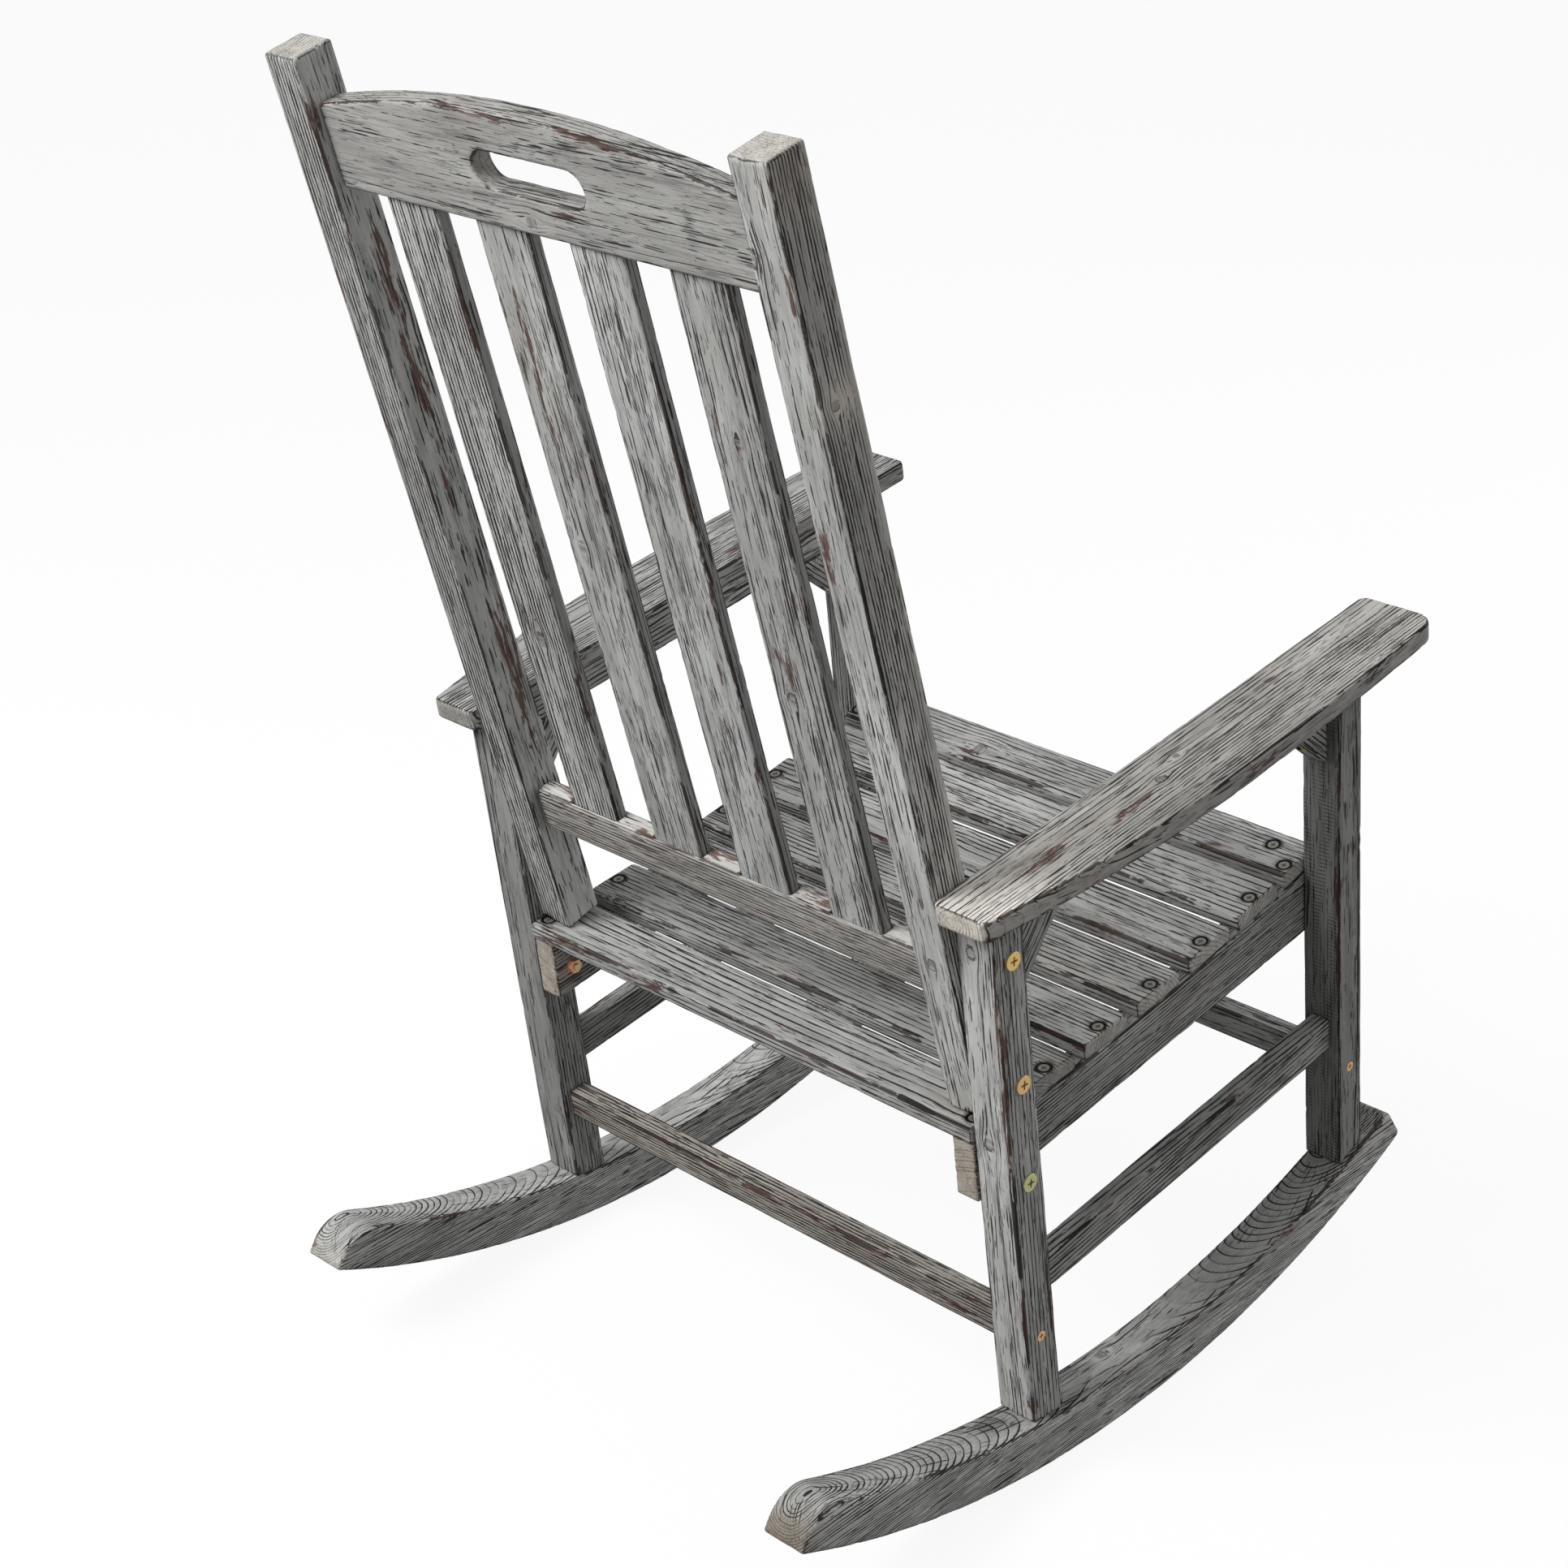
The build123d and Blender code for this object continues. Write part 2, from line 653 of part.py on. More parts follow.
def rail_screw_places():
    # from inside the seat rails into the front legs, where the two overlap
    leg_back = meet(front_leg_back, rail_under)[0]
    y = (leg_back + RAIL_FRONT_Y) / 2
    low, high = rail_under(y), seat_top_of_rail(y)
    places = []
    for side in (1, -1):
        for share in (0.2, 0.8):
            z = low + share * (high - low)
            shift = (z - low) * tan(radians(FRONT_LEG_LEAN))
            origin = (side * RAIL_IN, y + shift, z)
            places.append(Plane(origin=origin, x_dir=(0, 1, 0), z_dir=(-side, 0, 0)))
    return places


def add_dowels(node, names, places, radius, length):
    """Round pins centred on each place and running along its Z."""
    keep(node, Part() + [place * Cylinder(radius, length) for place in places], WOOD)
    for place in places:
        bore(names, place * Cylinder(radius + HOLE_PLAY, length + 2 * HOLE_PLAY))


def back_dowel_places():
    places = []
    crest_end = CREST_BOTTOM + CREST_END_HEIGHT
    lower_end = LOWER_RAIL_BOTTOM + LOWER_RAIL_HEIGHT
    for side in (1, -1):
        for low, high in ((CREST_BOTTOM, crest_end), (LOWER_RAIL_BOTTOM, lower_end)):
            for share in (0.27, 0.73):
                spot = (side * POST_IN, low + share * (high - low), POST_DEPTH / 2)
                places.append(BACK_PLANE * Pos(*spot) * Rot(0, 90, 0))
    return places


def side_dowel_places():
    places = []
    for side in (1, -1):
        for face in (rear_leg_front, front_leg_back):
            y, z = meet(face, side_stretcher_z)
            places.append(Pos(side * LEG_MID, y, z) * Rot(90 - SIDE_SLOPE, 0, 0))
    return places


def arm_dowel_places():
    places = []
    for side in (1, -1):
        for leg_line, lean in ((rear_leg_y, REAR_LEG_LEAN), (front_leg_y, FRONT_LEG_LEAN)):
            y, z = meet(leg_line, arm_under)
            places.append(Pos(side * LEG_MID, y, z) * Rot(-lean, 0, 0))
    return places


def apron_dowel_places():
    drop = Pos(RAIL_IN, 0, -APRON_DOWEL_DROP), Pos(-RAIL_IN, 0, -APRON_DOWEL_DROP)
    ends = [board_plane(APRON_Y) * end for end in drop]
    return [end * Rot(0, 90, 0) for end in ends]


def pin_places():
    # short pins from the legs' inner faces that lock the side stretchers' dowels
    places = []
    for side in (1, -1):
        for face, into in ((rear_leg_front, 1), (front_leg_back, -1)):
            y, z = meet(face, side_stretcher_z)
            y += into * PIN_DEPTH * cos(radians(SIDE_SLOPE))
            z -= into * PIN_DEPTH * sin(radians(SIDE_SLOPE))
            places.append(Pos(side * (LEG_IN + PIN_LENGTH / 2), y, z) * Rot(0, 90, 0))
    return places


# ---- assembly ----

BRACES = (
    (rear_leg_front, REAR_LEG_LEAN, -1),
    (front_leg_back, FRONT_LEG_LEAN, +1),
)

keep_pair("rocker", make_rocker())
keep_pair("rear_leg", make_leg(rear_leg_side()))
keep_pair("front_leg", make_leg(front_leg_side()))
keep_pair("arm", make_arm())
keep_pair("arm_rail", make_arm_rail())
keep_pair("rear_brace", make_brace(*BRACES[0]))
keep_pair("front_brace", make_brace(*BRACES[1]))
keep_pair("seat_rail", make_seat_rail())
keep("seat_apron", make_apron())
keep_pair("side_stretcher", make_side_stretcher())
keep("rear_stretcher", make_cross_stretcher(rear_leg_y(REAR_CROSS_Z), REAR_CROSS_Z, REAR_LEG_LEAN))
keep("front_stretcher",
     make_cross_stretcher(front_leg_y(FRONT_CROSS_Z), FRONT_CROSS_Z, FRONT_LEG_LEAN))

keep("seat_rear_board", make_board(REAR_BOARD_Y, REAR_BOARD_WIDTH))
for number in range(PLAIN_SLATS):
    keep(f"seat_slat_{number + 1}", make_board(slat_y(number), SLAT_WIDTH))
keep("seat_front_slat", make_board(FRONT_SLAT_Y, FRONT_SLAT_WIDTH))

keep_pair("back_post", make_post())
keep("lower_back_rail", make_lower_rail())
keep("crest_rail", make_crest())
for number in range(BACK_SLATS):
    keep(f"back_slat_{number + 1}", make_back_slat(number))

boards = [name for name in pieces if name.startswith("seat_")]
legs = [name for name in pieces if "_leg_" in name]
arms = [name for name in pieces if name.startswith("arm_")]
braces = [name for name in pieces if "_brace_" in name]
rockers = [name for name in pieces if name.startswith("rocker_")]
seat_rails = [name for name in pieces if name.startswith("seat_rail_")]
side_stretchers = [name for name in pieces if name.startswith("side_stretcher_")]
stretchers = ["rear_stretcher", "front_stretcher"]
back_frame = ["back_post_left", "back_post_right", "lower_back_rail", "crest_rail"]

add_bolts()
add_screws("seat_screws", boards, seat_screw_places(), SEAT_SCREW_LENGTH)
add_screws("stretcher_screws", legs + stretchers, cross_screw_places(), CROSS_SCREW_LENGTH)
add_screws("rocker_screws", rockers + legs, rocker_screw_places(), ROCKER_SCREW_LENGTH)
add_screws("arm_screws", arms, arm_screw_places(), ARM_SCREW_LENGTH)
add_screws("brace_screws", braces + legs + arms, brace_screw_places(), BRACE_SCREW_LENGTH)
add_screws("seat_rail_screws", seat_rails + legs, rail_screw_places(), RAIL_SCREW_LENGTH)
add_dowels("back_rail_dowels", back_frame, back_dowel_places(), DOWEL_DIA / 2, DOWEL_LENGTH)
add_dowels("side_stretcher_dowels", side_stretchers + legs, side_dowel_places(),
           DOWEL_DIA / 2, DOWEL_LENGTH)
add_dowels("arm_dowels", arms + legs, arm_dowel_places(), DOWEL_DIA / 2, ARM_THICK)
add_dowels("seat_apron_dowels", seat_rails + ["seat_apron"], apron_dowel_places(),
           DOWEL_DIA / 2, APRON_DOWEL_LENGTH)
add_dowels("stretcher_pins", legs + ["side_stretcher_dowels"], pin_places(),
           PIN_DIA / 2, PIN_LENGTH)

for name, cutters in holes.items():
    pieces[name] -= cutters

# ---- balance: roll the chair until its centre of mass is under the rockers' centre ----
mass = sum(pieces[name].volume * densities[name] for name in pieces)
moment = Vector(0, 0, 0)
for name, solid in pieces.items():
    moment += solid.center(CenterOf.MASS) * (solid.volume * densities[name])
balance = moment * (1 / mass)
roll = degrees(atan2(balance.Y, ROCKER_RADIUS - balance.Z))
hub = Pos(0, 0, ROCKER_RADIUS)
settle = hub * Rot(-roll, 0, 0) * hub.inverse()

box = (settle * Compound(list(pieces.values()))).bounding_box()
home = Pos(0, -(box.min.Y + box.max.Y) / 2, -box.min.Z) * settle

os.makedirs("parts", exist_ok=True)
for name, solid in pieces.items():
    export_step(home * solid, f"parts/{name}.step")
print(f"{len(pieces)} pieces, {mass / 1e6:.2f} kg, rolled {roll:.2f} deg")
print(f"contact at y = {-(box.min.Y + box.max.Y) / 2:.2f}, size {box.size}")
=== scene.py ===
"""Weathered porch rocking chair, dressed over its CAD frame.

Every wooden piece is meshed anew from its CAD solid, worn at the edges, and carries its own grain.
The fasteners keep their CAD meshes. Lengths are metres, unless a name or a comment says mm.
"""

import math

import bmesh
import bpy
import numpy as np
from mathutils import Matrix, Vector, kdtree


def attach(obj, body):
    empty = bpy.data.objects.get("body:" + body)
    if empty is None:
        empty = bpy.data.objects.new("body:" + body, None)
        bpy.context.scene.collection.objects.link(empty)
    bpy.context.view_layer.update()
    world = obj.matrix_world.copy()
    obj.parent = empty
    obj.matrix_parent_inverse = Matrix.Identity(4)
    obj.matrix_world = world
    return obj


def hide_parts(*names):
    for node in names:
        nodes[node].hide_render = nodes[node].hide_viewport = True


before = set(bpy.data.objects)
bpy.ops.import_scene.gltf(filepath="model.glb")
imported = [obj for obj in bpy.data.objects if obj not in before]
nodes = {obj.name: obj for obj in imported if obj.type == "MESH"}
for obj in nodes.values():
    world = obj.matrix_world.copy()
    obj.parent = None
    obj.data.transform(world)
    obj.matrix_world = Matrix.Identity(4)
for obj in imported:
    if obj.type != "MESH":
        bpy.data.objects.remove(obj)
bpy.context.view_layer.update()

# the even mesh of a board
VOXEL = 0.0022
WELD = 1e-6

# an arris is a sharp fold, or a row of narrow facets that turn round a small radius
SHARP = math.radians(30)
FACET_TURN = math.radians(3)
TIGHT_ROUND = 0.0045
ARRIS_STEP = 0.0015
ARRIS_REACH = 0.006

# how deep the arrises are dented and chipped, and how wavy the faces are
DIP, CHIP, WAVE = 0.0003, 0.0011, 0.00006

# the seat rails run on past the screws and dowels at their front ends, in line with their section there
LONGER = {"seat_rail_right": 0.0125, "seat_rail_left": 0.0125}
SECTION_BACK = 0.016

# how much the wood round a seat screw is streaked and darkened
SCREW_STREAKS, SCREW_SHADE = 0.5, 0.22

# each board's grain starts this far along from the last one's
GRAIN_STEP = 1.37


# ---- the boards: how each was sawn, how far it is worn, and where painted shade and painted light lie ----

# pith is the heart of the log, seen from the middle of the board's section, across and through it; gap
# is the ring spacing, wander how far the rings stray, tilt how they run out along the board. lines,
# cracks, streaks and worn say how strong the ring grooves, the seasoning cracks, the dark bare fibres
# and the brown patches are. tone lightens or darkens, and on some faces and marks it is painted shade
# or painted light; tint warms or cools, ripple is for saw marks, and swell carries a face outward.
# Axes are 0 along the grain, 1 across, 2 through. The rest are tuples:
# faces (axis, side, what changes on that side), knots (along, beside, axis it points along, radius),
# marks (along, across, through, half length, radius, what is added round that point).
PLAIN = dict(pith=(0.05, -0.07), gap=0.0036, wander=0.0022, tilt=(0.004, 0.002), lines=0.85, cracks=0.6,
             streaks=0.35, worn=0.1, tone=0.0, tint=0.0, ripple=0.0, swell=0.0, faces=(), knots=(),
             marks=())
# the back slats' sides towards -X: fainter grain, cracks and streaks, and a darker tone as painted shade,
# for the shade in the narrow gaps between the slats
SIDE_WITH_PAINTED_SHADE = (1, -1, dict(lines=0.35, cracks=0.2, streaks=0.15, tone=-0.26))
SWOLLEN = ((1, 1, dict(swell=0.0009)), (1, -1, dict(swell=0.0009)))
RAW_RAIL_END = (0.24, 0.0, 0.0, 0.03, 0.05, dict(tone=0.06, tint=1.8))
BOARDS = {
    "back_post_right": dict(
        pith=(0.004, -0.085), gap=0.0030, wander=0.0030, lines=0.35, cracks=1.0, streaks=0.4, tone=0.16,
        faces=((1, -1, dict(lines=1.1, cracks=0.2, streaks=0.3, tone=-0.02, tint=0.3)),),
        knots=((0.3478, 0.016, 2, 0.0050), (0.236, 0.006, 1, 0.0035), (-0.262, 0.0, 2, 0.0040)),
        marks=((0.337, -0.013, 0.019, 0.022, 0.004, dict(worn=1.1)),
               (0.116, 0.012, 0.019, 0.035, 0.006, dict(worn=1.2, streaks=0.6)),
               (0.20, -0.012, 0.019, 0.12, 0.004, dict(streaks=0.9)),
               (0.06, 0.012, 0.019, 0.09, 0.006, dict(streaks=0.9)),
               (-0.21, 0.0, 0.019, 0.05, 0.007, dict(worn=0.2, streaks=0.8)),
               (0.05, -0.019, -0.017, 0.50, 0.006, dict(lines=-1.2, tone=0.12)),
               (0.2325, -0.019, 0.0, 0.020, 0.020, dict(lines=-1.0, tone=0.22, tint=0.8)),
               # painted light: the lower part of the side towards -X is lightened, for light bounced up
               # from the floor
               (-0.22, -0.019, 0.0, 0.24, 0.030, dict(tone=0.44)),
               (0.40, -0.019, 0.0, 0.022, 0.020, dict(lines=-0.5, tint=1.0, streaks=0.5)))),
    "back_post_left": dict(
        pith=(0.09, 0.012), gap=0.0036, wander=0.0016, lines=1.0, cracks=0.5, streaks=0.3, tone=-0.02,
        faces=((1, -1, dict(lines=0.3, cracks=0.4, streaks=0.6, tone=0.05)),),
        marks=((0.20, -0.019, -0.004, 0.11, 0.009, dict(worn=0.95, streaks=0.9)),
               (0.02, -0.019, 0.0, 0.09, 0.009, dict(worn=0.5, streaks=0.8)),
               (-0.12, -0.019, -0.006, 0.09, 0.008, dict(worn=0.9, streaks=0.7)),
               (0.36, 0.0, 0.019, 0.02, 0.006, dict(worn=0.7, streaks=0.5)))),
    "crest_rail": dict(
        pith=(0.02, 0.16), gap=0.0040, wander=0.0034, lines=0.4, cracks=0.5, streaks=0.42, worn=0.12,
        tone=-0.08, tint=0.2, faces=((1, 1, dict(tone=-0.26, streaks=0.5)),),
        knots=((0.0075, -0.029, 2, 0.0045),),
        marks=((0.0736, 0.043, -0.01, 0.016, 0.006, dict(streaks=1.9, tone=-0.2)),
               (-0.095, 0.047, -0.01, 0.026, 0.0045, dict(worn=1.4, streaks=0.6)),
               (-0.01, 0.050, -0.008, 0.08, 0.0035, dict(worn=1.0)),
               (0.145, 0.042, -0.01, 0.030, 0.004, dict(streaks=1.1)),
               (0.05, 0.030, -0.01, 0.030, 0.004, dict(streaks=1.1)),
               (-0.135, 0.035, -0.01, 0.040, 0.007, dict(streaks=1.2)),
               (-0.163, -0.005, -0.01, 0.006, 0.022, dict(streaks=0.9)),
               (0.10, -0.026, -0.01, 0.060, 0.012, dict(cracks=0.6, streaks=0.5)),
               (-0.09, -0.025, -0.01, 0.070, 0.012, dict(cracks=0.6, streaks=0.5)))),
    "lower_back_rail": dict(
        pith=(0.06, 0.05), gap=0.0024, wander=0.0012, lines=0.7, cracks=0.4, streaks=0.25, worn=0.18,
        tone=-0.06, tint=0.7,
        faces=((1, 1, dict(lines=0.1, cracks=0.3, streaks=0.2, worn=0.45, tone=0.22, tint=0.2)),)),
    "back_slat_1": dict(
        pith=(0.11, -0.012), gap=0.0038, wander=0.0026, lines=1.1, cracks=0.5, streaks=0.25, tone=0.14,
        faces=(SIDE_WITH_PAINTED_SHADE,), knots=((-0.11, 0.002, 2, 0.005),),
        marks=((-0.13, 0.0, 0.006, 0.02, 0.02, dict(worn=0.3, streaks=0.5)),)),
    "back_slat_2": dict(
        pith=(0.02, -0.12), gap=0.0040, wander=0.0030, lines=0.5, cracks=1.0, streaks=0.5, tone=0.04,
        faces=(SIDE_WITH_PAINTED_SHADE,), knots=((0.005, 0.012, 2, 0.004),),
        marks=((0.20, 0.005, 0.006, 0.035, 0.0035, dict(worn=1.2, streaks=0.9)),
               (0.10, 0.009, 0.006, 0.060, 0.003, dict(worn=0.8, streaks=0.8)),
               (0.02, 0.0, 0.006, 0.12, 0.010, dict(streaks=0.9)),
               (-0.16, 0.006, 0.006, 0.08, 0.010, dict(streaks=0.8)))),
    "back_slat_3": dict(
        pith=(-0.03, -0.10), gap=0.0040, wander=0.0030, lines=0.6, cracks=1.0, streaks=0.5, tone=0.22,
        tint=-0.15, faces=(SIDE_WITH_PAINTED_SHADE,),
        marks=((0.17, 0.0, 0.006, 0.06, 0.008, dict(streaks=1.0)),
               (0.02, -0.006, 0.006, 0.12, 0.010, dict(streaks=0.9)),
               (-0.13, 0.002, 0.006, 0.08, 0.012, dict(streaks=1.0)))),
    "back_slat_4": dict(
        pith=(0.006, -0.030), gap=0.0036, wander=0.0040, lines=0.9, cracks=1.1, streaks=0.45, tone=0.06,
        faces=(SIDE_WITH_PAINTED_SHADE,), knots=((0.155, 0.0, 2, 0.004), (-0.075, 0.010, 2, 0.0045)),
        marks=((-0.05, 0.004, 0.006, 0.03, 0.006, dict(worn=1.1, streaks=0.8)),
               (0.03, -0.014, 0.006, 0.06, 0.007, dict(worn=0.2, streaks=1.0)),
               (0.21, -0.004, 0.006, 0.05, 0.010, dict(streaks=0.8)),
               (-0.15, -0.012, 0.006, 0.09, 0.008, dict(streaks=0.9)))),
    "seat_rear_board": dict(
        pith=(0.04, -0.060), gap=0.0042, wander=0.0026, lines=1.1, cracks=0.2, streaks=0.15, worn=0.08,
        tone=-0.12, knots=((-0.235, 0.005, 2, 0.006), (0.245, 0.004, 2, 0.005)),
        faces=((1, 1, dict(lines=0.7, worn=0.3)), (1, -1, dict(swell=0.0012)))),
    "seat_slat_1": dict(pith=(0.05, -0.06), gap=0.0030, lines=0.7, cracks=0.2, tone=-0.14,
                        faces=SWOLLEN),
    "seat_slat_2": dict(pith=(-0.07, -0.05), gap=0.0036, lines=0.8, cracks=0.3, tone=0.10,
                        faces=SWOLLEN),
    "seat_slat_3": dict(pith=(0.06, -0.05), gap=0.0036, lines=0.9, cracks=0.4, streaks=0.3, tone=0.20,
                        faces=SWOLLEN),
    "seat_slat_4": dict(pith=(0.03, -0.05), gap=0.0038, wander=0.004, lines=1.0, cracks=0.4, streaks=0.3,
                        tone=0.26, faces=SWOLLEN, knots=((0.03, 0.006, 2, 0.005),)),
    "seat_slat_5": dict(pith=(-0.05, -0.07), gap=0.0036, lines=0.9, cracks=0.4, streaks=0.3, tone=0.26,
                        faces=SWOLLEN),
    "seat_front_slat": dict(pith=(0.07, -0.05), gap=0.0038, lines=0.7, cracks=0.3, streaks=0.3, tone=0.14,
                            faces=SWOLLEN[:1], knots=((0.10, 0.008, 2, 0.006),)),
    "arm_right": dict(
        pith=(0.018, 0.004), gap=0.0031, wander=0.0024, lines=0.75, cracks=0.2, streaks=0.2, worn=0.2,
        tone=0.16, tint=0.4, faces=((1, -1, dict(tone=-0.18, lines=0.9)),),
        knots=((0.055, 0.0, 2, 0.0035), (0.022, 0.012, 2, 0.003)),
        marks=((0.12, -0.012, -0.01, 0.05, 0.016, dict(worn=0.4)),
               (0.17, 0.004, -0.01, 0.04, 0.012, dict(worn=0.35)),
               (0.0, -0.04, 0.0, 0.06, 0.005, dict(worn=0.9, streaks=0.6)),
               (-0.17, -0.04, 0.0, 0.06, 0.005, dict(worn=0.7, streaks=0.6)),
               (0.29, -0.018, 0.002, 0.02, 0.007, dict(worn=1.5)),
               (0.25, 0.0, -0.01, 0.15, 0.040, dict(tone=0.36, tint=0.3, lines=-0.25, cracks=-0.2)))),
    "arm_left": dict(
        pith=(0.02, 0.012), gap=0.0032, wander=0.0024, lines=0.9, streaks=0.6, worn=0.25, tone=-0.12,
        marks=((0.19, -0.03, 0.0, 0.05, 0.006, dict(worn=1.0, streaks=0.6)),)),
    "rear_leg_right": dict(
        pith=(0.018, -0.060), gap=0.0038, wander=0.0036, lines=0.9, cracks=0.9, streaks=0.5, tone=0.12,
        faces=((1, -1, dict(lines=0.55, cracks=0.7, streaks=0.7, tone=0.04)),),
        knots=((0.0329, 0.003, 2, 0.0045), (0.215, 0.004, 2, 0.0045)),
        marks=((0.14, -0.019, 0.019, 0.06, 0.005, dict(worn=1.0, streaks=0.4)),
               (0.0, -0.019, 0.019, 0.09, 0.005, dict(worn=0.9, streaks=0.6)),
               (-0.15, -0.019, 0.019, 0.06, 0.004, dict(worn=0.9, streaks=0.8)),
               (-0.23, -0.019, 0.019, 0.012, 0.010, dict(worn=1.3, streaks=0.7)),
               (-0.17, -0.019, -0.016, 0.05, 0.005, dict(worn=0.7, streaks=1.0)),
               (0.2, -0.019, 0.0, 0.04, 0.010, dict(streaks=0.9)),
               (0.12, 0.0, 0.019, 0.12, 0.030, dict(tone=0.32, cracks=-0.3)))),
    "rear_leg_left": dict(
        pith=(-0.012, -0.06), gap=0.0036, lines=0.9, cracks=0.8, streaks=0.6, tone=-0.30,
        faces=((1, -1, dict(lines=0.6, cracks=0.5, streaks=0.4, tone=-0.08)),)),
    # painted shade: both front legs are darker all over, for the shade the chair's back casts on them; on
    # the right one the back face is darker still, partly painted shade and partly a dark stain, and the
    # side towards -X is darkened as painted shade
    "front_leg_right": dict(
        pith=(-0.060, 0.004), gap=0.0036, wander=0.0040, lines=1.0, cracks=0.7, streaks=0.3, tone=-0.18,
        faces=((2, 1, dict(lines=0.2, cracks=0.5, streaks=0.5, ripple=1.0, tone=-0.54)),
               (1, -1, dict(lines=1.1, cracks=0.9, streaks=0.5, tone=-0.36))),
        marks=((0.0, -0.019, 0.017, 0.25, 0.004, dict(worn=1.0, streaks=0.6)),
               (0.075, -0.019, 0.0, 0.010, 0.008, dict(worn=1.2, streaks=0.8)))),
    "front_leg_left": dict(pith=(0.06, 0.03), gap=0.0034, lines=0.6, streaks=0.7, tone=-0.18),
    # painted light: each rocker's side towards -X is lightened, for light bounced up from the floor
    "rocker_right": dict(
        pith=(0.006, -0.071), gap=0.0022, wander=0.0026, lines=1.0, cracks=0.3, streaks=0.3, tone=-0.10,
        faces=((1, -1, dict(lines=0.9, tone=0.36)),), knots=((0.0, 0.008, 2, 0.004),),
        marks=((0.27, -0.02, 0.02, 0.06, 0.007, dict(worn=0.3, streaks=1.0)),
               (0.39, 0.0, -0.07, 0.035, 0.03, dict(lines=-0.55)),
               (0.13, 0.0, 0.0, 0.07, 0.03, dict(lines=0.2)),
               (0.05, -0.02, 0.0, 0.12, 0.008, dict(streaks=0.6)),
               (0.40, 0.0, -0.05, 0.015, 0.045, dict(tone=-0.35, tint=1.6)))),
    "rocker_left": dict(
        pith=(0.014, -0.072), gap=0.0022, wander=0.0026, lines=1.0, cracks=0.3, streaks=0.35, tone=0.20,
        faces=((1, -1, dict(lines=0.9, tone=0.40)),), knots=((0.12, 0.05, 1, 0.005),),
        marks=((0.33, -0.02, 0.0, 0.05, 0.010, dict(streaks=0.9)),
               (0.39, 0.0, -0.07, 0.035, 0.03, dict(lines=-0.55)))),
    "rear_stretcher": dict(
        pith=(0.06, 0.04), gap=0.0024, wander=0.0010, lines=1.0, cracks=0.3, streaks=0.3, worn=0.2,
        tone=-0.28, tint=1.1,
        marks=((0.0, 0.012, -0.012, 0.22, 0.0035, dict(worn=1.2)),
               (-0.21, 0.0, -0.011, 0.04, 0.006, dict(worn=0.8, streaks=0.7)),
               (0.24, -0.004, -0.011, 0.03, 0.005, dict(worn=0.8, streaks=0.3)))),
    "side_stretcher_right": dict(pith=(0.05, 0.06), gap=0.0032, lines=0.9, streaks=0.6, worn=0.2,
                                 tone=-0.12),
    "side_stretcher_left": dict(pith=(-0.05, 0.06), gap=0.0034, lines=0.8, streaks=0.4, tone=-0.12),
    "seat_rail_right": dict(pith=(-0.05, 0.14), gap=0.0032, lines=0.8, streaks=0.25, tone=-0.08,
                            marks=(RAW_RAIL_END,)),
    "seat_rail_left": dict(pith=(0.05, 0.12), gap=0.0034, lines=0.9, streaks=0.3, tone=-0.06,
                           marks=(RAW_RAIL_END,)),
}
# what varies over a board
SHOWN = ("lines", "cracks", "streaks", "worn", "tone", "tint", "ripple", "swell")


# ---- small helpers ----

# whole numbers that scatter a cell's place and a seed over 16 bits
CELL_KEYS, SEED_KEY, SCATTER = np.array([374761393, 668265263, 2147483647]), 1274126177, 1103515245


def value_noise(points, stretch, seed):
    """Smooth noise between -1 and 1 at the points, with stretch cells to the metre each way."""
    points = points * np.array(stretch)
    cell = np.floor(points).astype(np.int64)
    part = points - cell
    part = part * part * (3 - 2 * part)
    total = np.zeros(len(points))
    for corner in range(8):
        step = np.array([corner & 1, corner >> 1 & 1, corner >> 2 & 1])
        key = (cell + step) @ CELL_KEYS + seed * SEED_KEY
        key = (key ^ (key >> 13)) * SCATTER & 0x7FFFFFFF
        key = (key ^ (key >> 15)) & 0xFFFF
        weight = np.prod(np.where(step, part, 1 - part), axis=1)
        total += weight * (key / 32767.5 - 1)
    return total


def smooth(values, low, high):
    """0 at low, 1 at high, and a smooth climb between them."""
    part = np.clip((values - low) / (high - low), 0, 1)
    return part * part * (3 - 2 * part)


def read(layer, key, width):
    """One property of a mesh's vertices, edges or triangles, as an array of rows."""
    values = np.empty(len(layer) * width, dtype=np.int32 if key == "vertices" else np.float32)
    layer.foreach_get(key, values)
    return values.reshape(-1, width)


# ---- shapes ----

def board_axes(mesh):
    """Directions along the grain, across and through a board, as rows, and its middle.

    A board that lies along X is as wide as it stretches the other way. Every other board leans in the
    YZ plane, and its width is along X.
    """
    mesh.calc_loop_triangles()
    corners = read(mesh.vertices, "co", 3).astype(float)
    tris = read(mesh.loop_triangles, "vertices", 3)
    a, b, c = corners[tris[:, 0]], corners[tris[:, 1]], corners[tris[:, 2]]
    area = np.linalg.norm(np.cross(b - a, c - a), axis=1)
    spots = (a + b + c) / 3
    middle = (spots * area[:, None]).sum(0) / area.sum()
    spread = ((spots - middle) * area[:, None]).T @ (spots - middle)
    along, across = np.linalg.eigh(spread)[1][:, [2, 1]].T
    if abs(along[0]) > 0.9:
        along = np.array([1.0, 0, 0])
        across = across - along * (across @ along)
    else:
        along, across = along * [0, 1, 1], np.array([1.0, 0, 0])
    along, across = (v / np.linalg.norm(v) * np.sign(v[np.argmax(abs(v))]) for v in (along, across))
    return np.array([along, across, np.cross(along, across)]), middle


